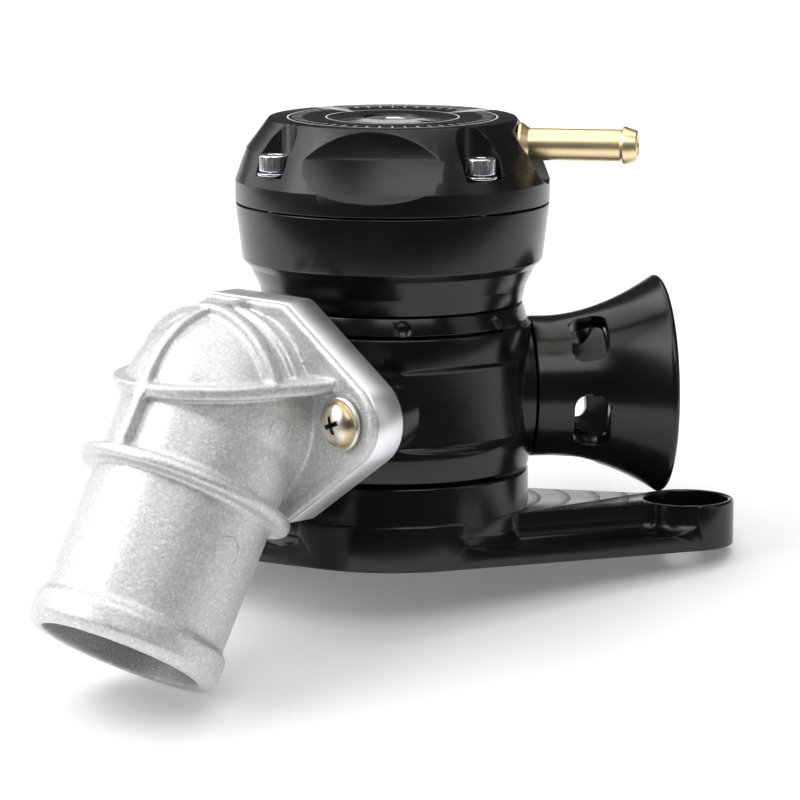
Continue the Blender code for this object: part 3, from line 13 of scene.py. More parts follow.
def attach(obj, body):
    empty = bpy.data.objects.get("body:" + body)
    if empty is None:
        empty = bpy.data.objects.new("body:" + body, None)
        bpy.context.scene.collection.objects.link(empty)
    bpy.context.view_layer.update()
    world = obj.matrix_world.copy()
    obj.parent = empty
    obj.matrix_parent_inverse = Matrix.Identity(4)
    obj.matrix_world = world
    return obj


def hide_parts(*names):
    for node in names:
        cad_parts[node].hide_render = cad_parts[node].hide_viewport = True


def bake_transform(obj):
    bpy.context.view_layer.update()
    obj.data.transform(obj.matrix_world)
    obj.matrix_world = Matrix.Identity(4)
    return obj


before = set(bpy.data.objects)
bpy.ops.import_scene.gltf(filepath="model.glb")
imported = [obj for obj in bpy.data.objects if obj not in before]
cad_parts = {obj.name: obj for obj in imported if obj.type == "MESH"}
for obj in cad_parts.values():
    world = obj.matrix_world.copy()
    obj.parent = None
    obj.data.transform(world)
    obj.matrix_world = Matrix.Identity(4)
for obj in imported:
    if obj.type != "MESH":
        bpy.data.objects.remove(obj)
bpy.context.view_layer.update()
mm = 0.001
print("frame loaded")

scene = bpy.context.scene

# what several pieces share: the top, the ports, the circle of the cap screws and the nipple
stack = dict(
    capTop=81.8, trumpetHeight=30.3, trumpetAzimuth=98.0,
    elbowHeight=31.2, elbowAzimuth=-45.0, elbowFace=30.2, screwPhase=-53.5, screwPitch=27.0,
    nippleAzimuth=81.0, nippleDrop=4.7,
)


def shift(x=0.0, y=0.0, z=0.0):
    return Matrix.Translation(Vector((x, y, z)) * mm)


def turn(angle, axis="Z"):
    return Matrix.Rotation(math.radians(angle), 4, axis)


def portFrame(azimuth, height):
    # X to the right along the port's face, Y up, Z out of the bore
    return turn(azimuth) @ shift(z=height) @ turn(90, "X")


def polar(azimuth, radius):
    return radius * math.sin(math.radians(azimuth)), -radius * math.cos(math.radians(azimuth))


def arc(x, y, radius, start, end, count):
    angles = [math.radians(start + (end - start) * k / count) for k in range(count + 1)]
    return [(x + radius * math.cos(angle), y + radius * math.sin(angle)) for angle in angles]


def circle(x, y, radius, count):
    return arc(x, y, radius, 0, 360, count)[:-1]


def hull(points):
    return [points[i] for i in convex_hull_2d(points)]


def filleted(points, steps=5):
    # a closed outline of (x, y) or (x, y, radius) corners, with true arcs at the corners
    out = []
    for i, point in enumerate(points):
        here = Vector(point[:2])
        radius = point[2] if len(point) > 2 else 0
        before = Vector(points[i - 1][:2]) - here
        after = Vector(points[(i + 1) % len(points)][:2]) - here
        short = min(before.length, after.length) < 1e-6
        angle = math.pi if short else before.angle(after)
        if not radius or angle > math.radians(176):
            out.append(tuple(here))
            continue
        reach = min(radius / math.tan(angle / 2), before.length * 0.47, after.length * 0.47)
        start = here + before.normalized() * reach
        end = here + after.normalized() * reach
        middle = (before.normalized() + after.normalized()).normalized()
        centre = here + middle * (reach / math.cos(angle / 2))
        first, last = start - centre, end - centre
        sweep = first.angle(last)
        for k in range(steps + 1):
            t = k / steps
            p = centre + (first * math.sin((1 - t) * sweep) + last * math.sin(t * sweep)) / math.sin(sweep)
            out.append(tuple(p))
    return out


def groovePoints(radius, depth, z, half):
    # a groove that goes in by depth, or out from a bore where depth is negative
    return [(radius, z - half), (radius - depth, z - half), (radius - depth, z + half), (radius, z + half)]


def roundedEdge(radius, count):
    # inset and rise of a rounded edge, from its foot up
    angles = [math.radians(90 * k / count) for k in range(count + 1)]
    return [(radius * (1 - math.sin(angle)), radius * (1 - math.cos(angle))) for angle in angles]


def shrunk(outline, inset):
    # outline moved inwards by the same distance all round
    if inset < 1e-6:
        return list(outline)
    area = sum(a[0] * b[1] - b[0] * a[1] for a, b in zip(outline, outline[1:] + outline[:1]))
    reach = math.copysign(inset, area)
    moved = []
    for i, point in enumerate(outline):
        before = Vector(point) - Vector(outline[i - 1])
        after = Vector(outline[(i + 1) % len(outline)]) - Vector(point)
        side = (before.normalized() + after.normalized()).normalized()
        moved.append((point[0] - side.y * reach, point[1] + side.x * reach))
    return moved


def loft(levels):
    bm = bmesh.new()
    rings = []
    for outline, height in levels:
        rings.append([bm.verts.new(Vector((x, y, height)) * mm) for x, y in outline])
    for low, high in zip(rings, rings[1:]):
        for k in range(len(low)):
            n = (k + 1) % len(low)
            bm.faces.new((low[k], low[n], high[n], high[k]))
    bm.faces.new(rings[0][::-1])
    bm.faces.new(rings[-1])
    return bm


def prism(outline, z0, z1):
    return loft(((outline, z0), (outline, z1)))


def turned(profile, segments=160, start=0.0, sweep=360.0):
    # a closed (radius, height) outline turned about Z
    bm = bmesh.new()
    closed = sweep == 360.0
    poles = {i: bm.verts.new(Vector((0, 0, height)) * mm)
             for i, (radius, height) in enumerate(profile) if radius < 1e-6}
    loops = []
    for k in range(segments if closed else segments + 1):
        angle = math.radians(start + sweep * k / segments)
        loop = []
        for i, (radius, height) in enumerate(profile):
            place = Vector((radius * math.cos(angle), radius * math.sin(angle), height)) * mm
            loop.append(poles[i] if i in poles else bm.verts.new(place))
        loops.append(loop)
    following = loops[1:] + loops[:1] if closed else loops[1:]
    for here, there in zip(loops, following):
        for i in range(len(profile)):
            n = (i + 1) % len(profile)
            corners = list(dict.fromkeys((here[i], here[n], there[n], there[i])))
            if len(corners) > 2:
                bm.faces.new(corners)
    if not closed:
        bm.faces.new(loops[0])
        bm.faces.new(loops[-1])
    return bm


def lathe(profile, segments, *span):
    return turned(filleted(profile), segments, *span)


def rod(radius, z0, z1, segments=96):
    return turned(((0, z0), (radius, z0), (radius, z1), (0, z1)), segments)


def merged(shapes):
    # one mesh of (shape, matrix) pairs
    bm = bmesh.new()
    for shape, matrix in shapes:
        mesh = bpy.data.meshes.new("part")
        shape.to_mesh(mesh)
        shape.free()
        mesh.transform(matrix)
        bm.from_mesh(mesh)
        bpy.data.meshes.remove(mesh)
    return bm


def toObject(name, bm, finish=None, matrix=None):
    if matrix is not None:
        bmesh.ops.transform(bm, matrix=matrix, verts=bm.verts)
    bmesh.ops.recalc_face_normals(bm, faces=bm.faces)
    mesh = bpy.data.meshes.new(name)
    bm.to_mesh(mesh)
    bm.free()
    obj = bpy.data.objects.new(name, mesh)
    scene.collection.objects.link(obj)
    if finish is not None:
        mesh.materials.append(finish)
    return obj


def settled(obj, crease=30.0):
    # every modifier becomes plain mesh, smooth with creases at the steeper edges
    bpy.context.view_layer.update()
    graph = bpy.context.evaluated_depsgraph_get()
    mesh = bpy.data.meshes.new_from_object(obj.evaluated_get(graph), depsgraph=graph)
    obj.modifiers.clear()
    obj.data = mesh
    mesh.shade_smooth()
    mesh.set_sharp_from_angle(angle=math.radians(crease))


def carve(obj, steps):
    # steps are ("cut" or "fuse", shape) with a matrix where it is moved, worked in their order
    tools = []
    for action, shape, *matrix in steps:
        tool = toObject(f"{obj.name}_tool_{len(tools)}", shape, None, *matrix)
        mod = obj.modifiers.new(action, "BOOLEAN")
        mod.operation = "DIFFERENCE" if action == "cut" else "UNION"
        mod.solver = "EXACT"
        mod.object = tool
        tools.append(tool)
    weld = obj.modifiers.new("weld", "WELD")
    weld.merge_threshold = 0.015 * mm
    settled(obj)
    for tool in tools:
        bpy.data.objects.remove(tool)


def breakEdges(obj, width, limit=38.0):
    old = obj.data
    surface = BVHTree.FromPolygons([v.co.copy() for v in old.vertices], [tuple(p.vertices) for p in old.polygons])
    mod = obj.modifiers.new("edge break", "BEVEL")
    mod.width = width * mm
    mod.segments = 2
    mod.limit_method = "ANGLE"
    mod.angle_limit = math.radians(limit)
    mod.use_clamp_overlap = False
    mod.miter_outer = "MITER_ARC"
    settled(obj)
    # a bevel can overshoot at a sharp corner, so what leaves the old surface goes back onto it
    for vertex in obj.data.vertices:
        place, normal, _, distance = surface.find_nearest(vertex.co)
        proud = (vertex.co - place).dot(normal)
        if distance > 0.55 * width * mm or proud > 0.32 * width * mm:
            vertex.co = place


# Node trees: small tools that every tree below is written with
def feed(tree, plug, value):
    # an output or a signal is linked, anything else is written on the plug itself
    value = getattr(value, "socket", value)
    if isinstance(value, bpy.types.NodeSocket):
        tree.links.new(value, plug)
    else:
        plug.default_value = value


def addNode(tree, kind, inputs=(), **settings):
    node = tree.nodes.new(kind)
    for label, value in settings.items():
        setattr(node, label, value)
    for label, value in dict(inputs).items():
        feed(tree, node.inputs[label], value)
    return node


class Signal:
    # a number that runs through a node tree and takes plain arithmetic
    def __init__(self, tree, socket):
        self.tree, self.socket = tree, socket

    def work(self, operation, *others):
        node = addNode(self.tree, "ShaderNodeMath", enumerate((self, *others)), operation=operation)
        return Signal(self.tree, node.outputs["Value"])

    def __add__(self, other):
        return self.work("ADD", other)

    def __sub__(self, other):
        return self.work("SUBTRACT", other)

    def __mul__(self, other):
        return self.work("MULTIPLY", other)

    def __truediv__(self, other):
        return self.work("DIVIDE", other)

    def __pow__(self, other):
        return self.work("POWER", other)

    def __gt__(self, other):
        return self.work("GREATER_THAN", other)

    def __lt__(self, other):
        return self.work("LESS_THAN", other)

    def __abs__(self):
        return self.work("ABSOLUTE")


def joined(x, y, z):
    node = addNode(x.tree, "ShaderNodeCombineXYZ", {"X": x, "Y": y, "Z": z})
    return node.outputs["Vector"]


def parted(tree, vector):
    node = addNode(tree, "ShaderNodeSeparateXYZ", {"Vector": vector})
    return [Signal(tree, node.outputs[label]) for label in "XYZ"]


def radial(x, y):
    return (x ** 2.0 + y ** 2.0).work("SQRT")


# Geometry Nodes: one tree cuts a tool round an axis, the other copies a piece round it
def newTree(name, **inputs):
    tree = bpy.data.node_groups.new(name, "GeometryNodeTree")
    for label, kind in {"Geometry": "Geometry", **inputs, "Finish": "Material"}.items():
        tree.interface.new_socket(label, in_out="INPUT", socket_type="NodeSocket" + kind)
    tree.interface.new_socket("Geometry", in_out="OUTPUT", socket_type="NodeSocketGeometry")
    return tree, addNode(tree, "NodeGroupInput").outputs


def ringInstances(tree, source, geometry):
    # points on one spot, each instance turned on by a step about Z
    points = addNode(tree, "GeometryNodeMeshLine", {"Count": source["Count"], "Offset": (0, 0, 0)})
    index = Signal(tree, addNode(tree, "GeometryNodeInputIndex").outputs["Index"])
    spin = addNode(tree, "ShaderNodeCombineXYZ", {"Z": index * source["Step"] + source["Start"]})
    copies = addNode(tree, "GeometryNodeInstanceOnPoints", {
        "Points": points.outputs["Mesh"], "Instance": geometry, "Rotation": spin.outputs["Vector"]})
    return copies.outputs["Instances"]


def endTree(tree, source, geometry):
    solid = addNode(tree, "GeometryNodeRealizeInstances", {"Geometry": geometry})
    paint = addNode(tree, "GeometryNodeSetMaterial", {
        "Geometry": solid.outputs["Geometry"], "Material": source["Finish"]})
    addNode(tree, "NodeGroupOutput", {"Geometry": paint.outputs["Geometry"]})
    return tree


def buildCutTree():
    tree, source = newTree("cut round the axis", Tool="Object", Count="Int", Start="Float", Step="Float")
    tool = addNode(tree, "GeometryNodeObjectInfo", {"Object": source["Tool"]})
    ring = addNode(tree, "GeometryNodeRealizeInstances", {
        "Geometry": ringInstances(tree, source, tool.outputs["Geometry"])})
    cutter = addNode(tree, "GeometryNodeMeshBoolean", operation="DIFFERENCE", solver="EXACT")
    feed(tree, cutter.inputs["Mesh 1"], source["Geometry"])
    feed(tree, cutter.inputs["Mesh 2"], ring.outputs["Geometry"])
    return endTree(tree, source, cutter.outputs["Mesh"])


def buildCopyTree():
    tree, source = newTree("copies round the axis", Count="Int", Start="Float", Step="Float")
    return endTree(tree, source, ringInstances(tree, source, source["Geometry"]))


def runTree(obj, tree, values):
    mod = obj.modifiers.new(tree.name, "NODES")
    mod.node_group = tree
    for socket in tree.interface.items_tree:
        if socket.in_out == "INPUT" and socket.name in values:
            mod[socket.identifier] = values[socket.name]
    settled(obj)


cutTree = buildCutTree()
copyTree = buildCopyTree()


def copyRound(obj, count, start, finish, tree=copyTree, **values):
    runTree(obj, tree, {"Count": count, "Start": math.radians(start), "Step": math.radians(360 / count),
                        "Finish": finish, **values})


def cutRound(obj, tool, count, start, finish):
    copyRound(obj, count, start, finish, cutTree, Tool=tool)
    bpy.data.objects.remove(tool)


print("tools ready")


# Shader groups for the effects that several finishes share
def newGroup(name, **numbers):
    group = bpy.data.node_groups.new(name, "ShaderNodeTree")
    group.interface.new_socket("Vector", in_out="INPUT", socket_type="NodeSocketVector")
    for label, value in numbers.items():
        socket = group.interface.new_socket(label, in_out="INPUT", socket_type="NodeSocketFloat")
        socket.default_value = value
    return group, {plug.name: Signal(group, plug) for plug in addNode(group, "NodeGroupInput").outputs}


def endGroup(group, **results):
    for label in results:
        group.interface.new_socket(label, in_out="OUTPUT", socket_type="NodeSocketFloat")
    addNode(group, "NodeGroupOutput", results)
    return group


def noise(tree, vector, scale, detail, rough):
    node = addNode(tree, "ShaderNodeTexNoise", {
        "Vector": vector, "Scale": scale, "Detail": detail, "Roughness": rough})
    return Signal(tree, node.outputs["Fac"])


def buildTurningGroup():
    # tool lines round an axis: even feed lines broken by finer chatter
    group, source = newGroup("turning lines", Feed=0.18, Chatter=0.5, Fine=2.4, Wide=0.35)
    x, y, z = parted(group, source["Vector"])
    along = (radial(x, y) + z) * 1000.0
    wave = (along * (2 * math.pi) / source["Feed"]).work("SINE")
    line = addNode(group, "ShaderNodeCombineXYZ", {"X": along}).outputs["Vector"]
    fine = noise(group, line, source["Fine"], 4.0, 0.7)
    wide = noise(group, line, source["Wide"], 2.0, 0.5)
    return endGroup(group, Height=fine * source["Chatter"] + wave * 0.25, Tone=fine * 0.5 + wide * 0.5)


def buildHandlingGroup():
    # faint smears, dust and tiny nicks from being handled
    group, source = newGroup("handling marks", Smears=60.0, Amount=0.25, Cells=420.0, Nick=0.03, Rarity=900.0)
    vector = source["Vector"]
    cells = addNode(group, "ShaderNodeTexVoronoi", {"Vector": vector, "Scale": source["Cells"]},
                    feature="DISTANCE_TO_EDGE")
    edge = Signal(group, cells.outputs["Distance"]) < source["Nick"]
    rare = noise(group, vector, source["Rarity"], 2.0, 0.5) > source["Amount"] * -1.0 + 0.95
    return endGroup(group, Smear=noise(group, vector, source["Smears"], 4.0, 0.6), Nicks=edge * rare)


def buildCastGroup():
    # blasted casting: fine grain over a shallow orange peel, and random facets whose lighter colour is a painted
    # glint
    group, source = newGroup("cast skin", Grain=1900.0, Peel=1050.0, Facets=2600.0)
    vector = source["Vector"]
    grain = noise(group, vector, source["Grain"], 3.0, 0.65)
    peel = noise(group, vector, source["Peel"], 2.0, 0.5)
    cells = addNode(group, "ShaderNodeTexVoronoi", {"Vector": vector, "Scale": source["Facets"]})
    facet = addNode(group, "ShaderNodeSeparateColor", {"Color": cells.outputs["Color"]}).outputs
    return endGroup(group, Height=peel * 0.35 + grain * 0.65,
                    Tone=Signal(group, facet["Green"]) * 0.3 + grain * 0.7,
                    Sparkle=Signal(group, facet["Red"]) > 0.86)


turningGroup = buildTurningGroup()
handlingGroup = buildHandlingGroup()
castGroup = buildCastGroup()
print("effects ready")


def newFinish(name, **values):
    mat = bpy.data.materials.new(name)
    mat.use_nodes = True
    shader = mat.node_tree.nodes["Principled BSDF"]
    for label, value in values.items():
        shader.inputs[label.replace("_", " ")].default_value = value
    return mat, mat.node_tree, shader


def axisVector(tree, matrix=None):
    # object coordinates, seen from the piece's own axis where a matrix is given
    coords = addNode(tree, "ShaderNodeTexCoord").outputs["Object"]
    if matrix is None:
        return coords
    inverse = matrix.inverted()
    mapping = addNode(tree, "ShaderNodeMapping", {
        "Vector": coords, "Location": inverse.translation, "Rotation": inverse.to_euler("XYZ")})
    return mapping.outputs["Vector"]


def useGroup(tree, group, vector, **values):
    node = addNode(tree, "ShaderNodeGroup", {"Vector": vector, **values}, node_tree=group)
    return {plug.name: Signal(tree, plug) for plug in node.outputs}


def ramp(tree, factor, stops):
    node = addNode(tree, "ShaderNodeValToRGB", {"Fac": factor})
    while len(node.color_ramp.elements) < len(stops):
        node.color_ramp.elements.new(0.5)
    for element, (place, colour) in zip(node.color_ramp.elements, stops):
        element.position = place
        element.color = (*colour, 1.0)
    return node.outputs["Color"]


def mapped(tree, value, low, high, **settings):
    # low and high are pairs of where the value comes from and what it becomes
    node = addNode(tree, "ShaderNodeMapRange", {
        "Value": value, "From Min": low[0], "From Max": high[0], "To Min": low[1], "To Max": high[1]}, **settings)
    return Signal(tree, node.outputs["Result"])


def spread(tree, factor, span):
    return mapped(tree, factor, (0.3, span[0]), (0.7, span[1]))


def blended(tree, factor, colour, other):
    mix = addNode(tree, "ShaderNodeMix", {"Factor": factor}, data_type="RGBA")
    feed(tree, mix.inputs["A"], colour)
    feed(tree, mix.inputs["B"], (*other, 1.0))
    return mix.outputs["Result"]


def dress(mat, tree, shader, colour, rough, height, depth):
    bump = addNode(tree, "ShaderNodeBump", {"Strength": 1.0, "Distance": depth * mm, "Height": height})
    for label, value in (("Base Color", colour), ("Roughness", rough), ("Normal", bump.outputs["Normal"])):
        feed(tree, shader.inputs[label], value)
    return mat


anodised = dict(
    colour=(0.0038, 0.0038, 0.0043), dust=(0.0075, 0.0075, 0.0080),
    rough=(0.16, 0.24), feed=0.22, lineDepth=0.0022, specular=0.42,
)


def anodisedFinish(name, matrix=None, extra=None):
    mat, tree, shader = newFinish(name, Metallic=0.0, Specular_IOR_Level=anodised["specular"])
    vector = axisVector(tree, matrix)
    lines = useGroup(tree, turningGroup, vector, Feed=anodised["feed"], Chatter=0.6)
    marks = useGroup(tree, handlingGroup, vector, Smears=70.0, Amount=0.22)
    colour = ramp(tree, marks["Smear"], ((0.35, anodised["colour"]), (0.75, anodised["dust"])))
    rough = spread(tree, lines["Tone"] * 0.4 + marks["Smear"] * 0.6, anodised["rough"])
    height = marks["Nicks"] * -0.6 + lines["Height"]
    if extra is not None:
        colour, rough, height = extra(tree, colour, rough, height)
    return dress(mat, tree, shader, colour, rough, height, anodised["lineDepth"])


def metalFinish(name, dark, light, rough, feedPitch, depth, matrix=None):
    # turned or plated metal: tone and roughness wander along the tool lines
    mat, tree, shader = newFinish(name, Metallic=1.0)
    vector = axisVector(tree, matrix)
    lines = useGroup(tree, turningGroup, vector, Feed=feedPitch, Chatter=0.8)
    marks = useGroup(tree, handlingGroup, vector, Smears=120.0, Amount=0.25)
    tone = lines["Tone"] * 0.5 + marks["Smear"] * 0.5
    return dress(mat, tree, shader, ramp(tree, tone, ((0.3, dark), (0.7, light))),
                 spread(tree, tone, rough), lines["Height"], depth)


castLook = dict(
    # the facets' lighter colour below is a painted glint
    shade=(0.57, 0.575, 0.58), light=(0.69, 0.695, 0.695), sparkle=(0.84, 0.845, 0.84),
    bore=(0.56, 0.56, 0.56), rough=(0.38, 0.52), depth=0.085,
    # ejector pin marks: place on the skin and radius
    pins=(((-20.33, -45.13, 30.05), 2.2), ((-29.46, -53.53, 9.69), 2.8)), pinHeight=1.5, pinEdge=0.18,
)


def castFinish(name):
    look = SimpleNamespace(**castLook)
    mat, tree, shader = newFinish(name, Metallic=0.55)
    vector = axisVector(tree)
    skin = useGroup(tree, castGroup, vector)
    colour = ramp(tree, skin["Tone"], ((0.35, look.shade), (0.62, look.light)))
    # random facets are painted lighter, as painted glints
    colour = blended(tree, skin["Sparkle"] * 0.6, colour, look.sparkle)
    # inside the bore the colour is darker and the grain deeper
    x, y, z = parted(tree, axisVector(tree, pipeFrame))
    inside = (radial(x, y) < (elbowSet["pipeBoreR"] + 0.25) * mm) * (z > 18 * mm)
    colour = blended(tree, inside, colour, look.bore)
    height = skin["Height"] * (inside * 2.0 + 1.0)
    for place, size in look.pins:
        reach = addNode(tree, "ShaderNodeVectorMath", {0: vector, 1: Vector(place) * mm}, operation="DISTANCE")
        height += mapped(tree, reach.outputs["Value"], ((size - look.pinEdge) * mm, look.pinHeight),
                         ((size + look.pinEdge) * mm, 0.0), interpolation_type="SMOOTHSTEP")
    return dress(mat, tree, shader, colour, spread(tree, skin["Tone"], look.rough), height, look.depth)


def plateFinish(name):
    # zinc plate tinted by the distance from the screw's axis: pale in the middle, brown round the foot of the dome
    # and pale again out on the flange
    mat, tree, shader = newFinish(name, Metallic=1.0)
    vector = axisVector(tree, elbowFrame)
    x, y, _ = parted(tree, vector)
    radius = radial(abs(x) - elbowSet["spread"] * mm, y)
    marks = useGroup(tree, handlingGroup, vector, Smears=420.0, Amount=0.3)
    place = radius * (1000.0 / panSet["flangeR"]) + (marks["Smear"] * 0.24 - 0.12)
    return dress(mat, tree, shader, ramp(tree, place, panSet["tints"]), spread(tree, marks["Smear"], (0.26, 0.40)),
                 marks["Nicks"] * -0.6 + marks["Smear"], 0.03)


def softFinish(name, dark, light, rough, scale, depth):
    # rubber and polymer, and the painted shade in the screws' recesses: even skin with faint bloom
    mat, tree, shader = newFinish(name)
    vector = axisVector(tree)
    bloom = noise(tree, vector, scale, 4.0, 0.6)
    return dress(mat, tree, shader, ramp(tree, bloom, ((0.35, dark), (0.65, light))),
                 spread(tree, bloom, rough), noise(tree, vector, scale * 12, 2.0, 0.5), depth)


def etchedRings(tree, colour, rough, height):
    # plain etched graduations on the crown of the cap, where the real one is lettered
    etch = SimpleNamespace(**capEtch)
    x, y, z = parted(tree, axisVector(tree))
    radius = radial(x, y) * 1000.0
    cell = (y.work("ARCTAN2", x) * (etch.ticks / (2 * math.pi)) + 0.5).work("FRACT") - 0.5
    tick = (cell * (2 * math.pi / etch.ticks) * radius).work("COMPARE", 0.0, etch.line / 2)
    low, high = etch.tickSpan
    mask = tick * radius.work("COMPARE", (low + high) / 2, (high - low) / 2)
    for ring in etch.rings:
        mask = mask.work("MAXIMUM", radius.work("COMPARE", ring, etch.line / 2))
    level = z > (stack["capTop"] - 0.1) * mm
    mask *= level
    # the crown is lapped, so it is smoother than the turned flanks
    rough *= level * (etch.crown - etch.flank) + etch.flank
    rough = rough.work("MAXIMUM", mask * 0.5)
    return blended(tree, mask, colour, etch.colour), rough, height * (level * -etch.lapping + 1.0)


capEtch = dict(
    rings=(19.6, 12.4), ticks=48, tickSpan=(16.9, 18.9), line=0.30,
    colour=(0.62, 0.62, 0.63), lapping=0.6, crown=0.5, flank=1.35,
)


def millArcsAndSheen(tree, colour, rough, height):
    # arcs that the end mill leaves on the upper face of the plate, round the collar, and a lighter grey over that
    # whole face as a painted sheen
    x, y, z = parted(tree, axisVector(tree))
    across = y - baseSet["earY"] * mm
    bow = ((across ** 2.0) * -1.0 + (millLookAndSheen["radius"] * mm) ** 2).work("MAXIMUM", 0.0).work("SQRT")
    place = (abs(x) - bow) * 1000.0
    here = z.work("COMPARE", baseSet["plate"] * mm, 0.1 * mm) * (abs(x) > 10 * mm)
    for pitch, depth, shine in millLookAndSheen["passes"]:
        crest = (place * (1.0 / pitch)).work("FRACT") ** 6.0 * here
        height = crest * depth + height
        rough = crest * shine + rough
    # the upper face is painted a lighter grey: a painted sheen
    return blended(tree, here, colour, millLookAndSheen["colour"]), rough, height


# colour is the lighter grey of the plate's upper face, a painted sheen
millLookAndSheen = dict(radius=17.0, colour=(0.030, 0.030, 0.031), passes=((5.6, 34.0, 0.24), (0.9, 5.0, 0.08)))

baseSet = dict(
    plate=8.7, plateR=26.0, earR=9.15, longEarX=55.7, shortEarX=-38.0, earY=3.8,
    pocketR=8.05, pocketDepth=4.5, boltR=3.4, collarR=25.6, collarTop=15.7,
    inletR=15.0, lead=1.5, socketR=21.3, socketFloor=9.0, snapZ=11.1, snapDepth=0.8,
    grooveR=20.6, grooveWidth=2.6, grooveDepth=2.2,
    rebateFloor=3.2, rebateDepth=6.3, lip=0.2, toolR=2.75, cornerR=3.2, runOut=10.0,
    edge=0.45, edgeBreak=0.16,
)

trumpetFrame = portFrame(stack["trumpetAzimuth"], stack["trumpetHeight"])
elbowFrame = portFrame(stack["elbowAzimuth"], stack["elbowHeight"])
nippleFrame = portFrame(stack["nippleAzimuth"], stack["capTop"] - stack["nippleDrop"])

elbowSet = dict(
    back=30.5, face=37.5, halfHeight=20.4, flat=12.2, cornerR=3.0, earR=8.5, spread=25.0,
    boreR=13.2, bendDistance=14.6, lift=0.5, angle=60.0, neckR=17.6, ballR=17.9,
    ballBoreR=14.3, pipeR=17.1, pipeBoreR=14.9, pipeLength=48.5, beadR=18.3,
    beadLength=7.0, ringR=20.3, ringStart=14.8, ringWidth=2.5,
    ribThickness=2.5, ribR=19.5, shelfR=18.9, shelfLift=5.8, shelfReach=23.5,
    archR=19.9, archOffset=1.8, stepR=18.8, stepOffset=-4.0, stepThickness=1.6,
    rimWidth=1.7, rimHeight=0.6, voxel=0.42, smooth=3, skinInset=0.35, holeR=2.9, seatR=6.1,
    plateGap=0.55, plateHoleR=2.75, plateBreak=0.45,
)
panSet = dict(
    r=2.45, length=14.5, flangeR=4.9, flangeHeight=0.9, headR=4.0, headHeight=3.0,
    crossWidth=1.0, crossLength=4.4, crossDepth=2.0, crossTaper=(0.45, 0.55), gap=0.3, edgeBreak=0.12,
    tints=((0.0, (0.70, 0.68, 0.58)), (0.62, (0.74, 0.71, 0.60)), (0.76, (0.50, 0.38, 0.20)),
           (0.88, (0.66, 0.58, 0.42)), (0.98, (0.80, 0.77, 0.68))),
)
bendFrame = shift(y=elbowSet["lift"], z=elbowSet["back"] + elbowSet["bendDistance"])
pipeFrame = elbowFrame @ bendFrame @ turn(elbowSet["angle"], "X")

bodyBlack = anodisedFinish("black anodised, turned")
capBlack = anodisedFinish("black anodised cap", None, etchedRings)
baseBlack = anodisedFinish("black anodised base", None, millArcsAndSheen)
trumpetBlack = anodisedFinish("black anodised trumpet", trumpetFrame)
castSkin = castFinish("blasted cast aluminium")
castFaced = metalFinish("faced aluminium", (0.80, 0.82, 0.84), (0.90, 0.91, 0.93), rough=(0.36, 0.48),
                        feedPitch=0.5, depth=0.006, matrix=elbowFrame)
screwPlate = plateFinish("yellowed zinc plate")
# near-black finish for the faces inside the screws' cross recesses: painted shade
paintedRecessShade = softFinish("driven recess", (0.012, 0.011, 0.009), (0.05, 0.045, 0.035), rough=(0.45, 0.7),
                         scale=900, depth=0.02)
capSteel = metalFinish("bright steel", (0.66, 0.69, 0.73), (0.82, 0.84, 0.86), rough=(0.20, 0.32),
                       feedPitch=0.25, depth=0.002)
nippleBrass = metalFinish("turned brass", (0.84, 0.66, 0.38), (0.95, 0.79, 0.50), rough=(0.30, 0.40),
                          feedPitch=0.35, depth=0.004, matrix=nippleFrame)
bareAlloy = metalFinish("turned aluminium", (0.74, 0.74, 0.75), (0.86, 0.86, 0.87), rough=(0.24, 0.36),
                        feedPitch=0.22, depth=0.003)
sealRubber = softFinish("seal rubber", (0.012, 0.012, 0.012), (0.03, 0.03, 0.029), rough=(0.50, 0.68),
                        scale=300, depth=0.01)
bandPolymer = softFinish("band polymer", (0.70, 0.68, 0.61), (0.80, 0.78, 0.72), rough=(0.42, 0.55),
                         scale=260, depth=0.006)
print("finishes ready")


# Base plate with its two ears
def rebateWall(length, offset):
    s = SimpleNamespace(**baseSet)
    collarR = s.plateR - s.lip
    earR = s.earR - s.lip
    earY = s.plateR - s.earR
    cornerY = s.plateR - s.rebateDepth + s.cornerR
    nearX = math.sqrt((collarR + s.cornerR) ** 2 - cornerY ** 2)
    farX = length - math.sqrt((earR + s.cornerR) ** 2 - (cornerY - earY) ** 2)
    nearAngle = math.degrees(math.atan2(cornerY, nearX))
    farAngle = math.degrees(math.atan2(cornerY - earY, farX - length))
    cornerR = s.cornerR - offset
    return (arc(0, 0, collarR + offset, 90 - s.runOut, nearAngle, 12)
            + arc(nearX, cornerY, cornerR, nearAngle - 180, -90, 14)[1:]
            + arc(farX, cornerY, cornerR, -90, farAngle - 180, 14)
            + arc(length, earY, earR + offset, farAngle, 90 + s.runOut, 14)[1:])


def rebate(length):
    s = SimpleNamespace(**baseSet)
    beyond = s.plateR + s.rebateDepth
    levels = [(inset, s.rebateFloor + rise) for inset, rise in roundedEdge(s.toolR, 8)] + [(0, s.plate + 1.0)]
    return loft([(rebateWall(length, inset) + [(length, beyond), (0, beyond)], height)
                 for inset, height in levels])


def flankFrame(earX, side):
    s = SimpleNamespace(**baseSet)
    bearing = math.atan2(s.earY * side, earX * math.copysign(1, earX))
    slope = math.asin((s.plateR - s.earR) / math.hypot(earX, s.earY))
    return (Matrix.Diagonal((math.copysign(1, earX), side, 1, 1))
            @ Matrix.Rotation(bearing - slope, 4, "Z"))


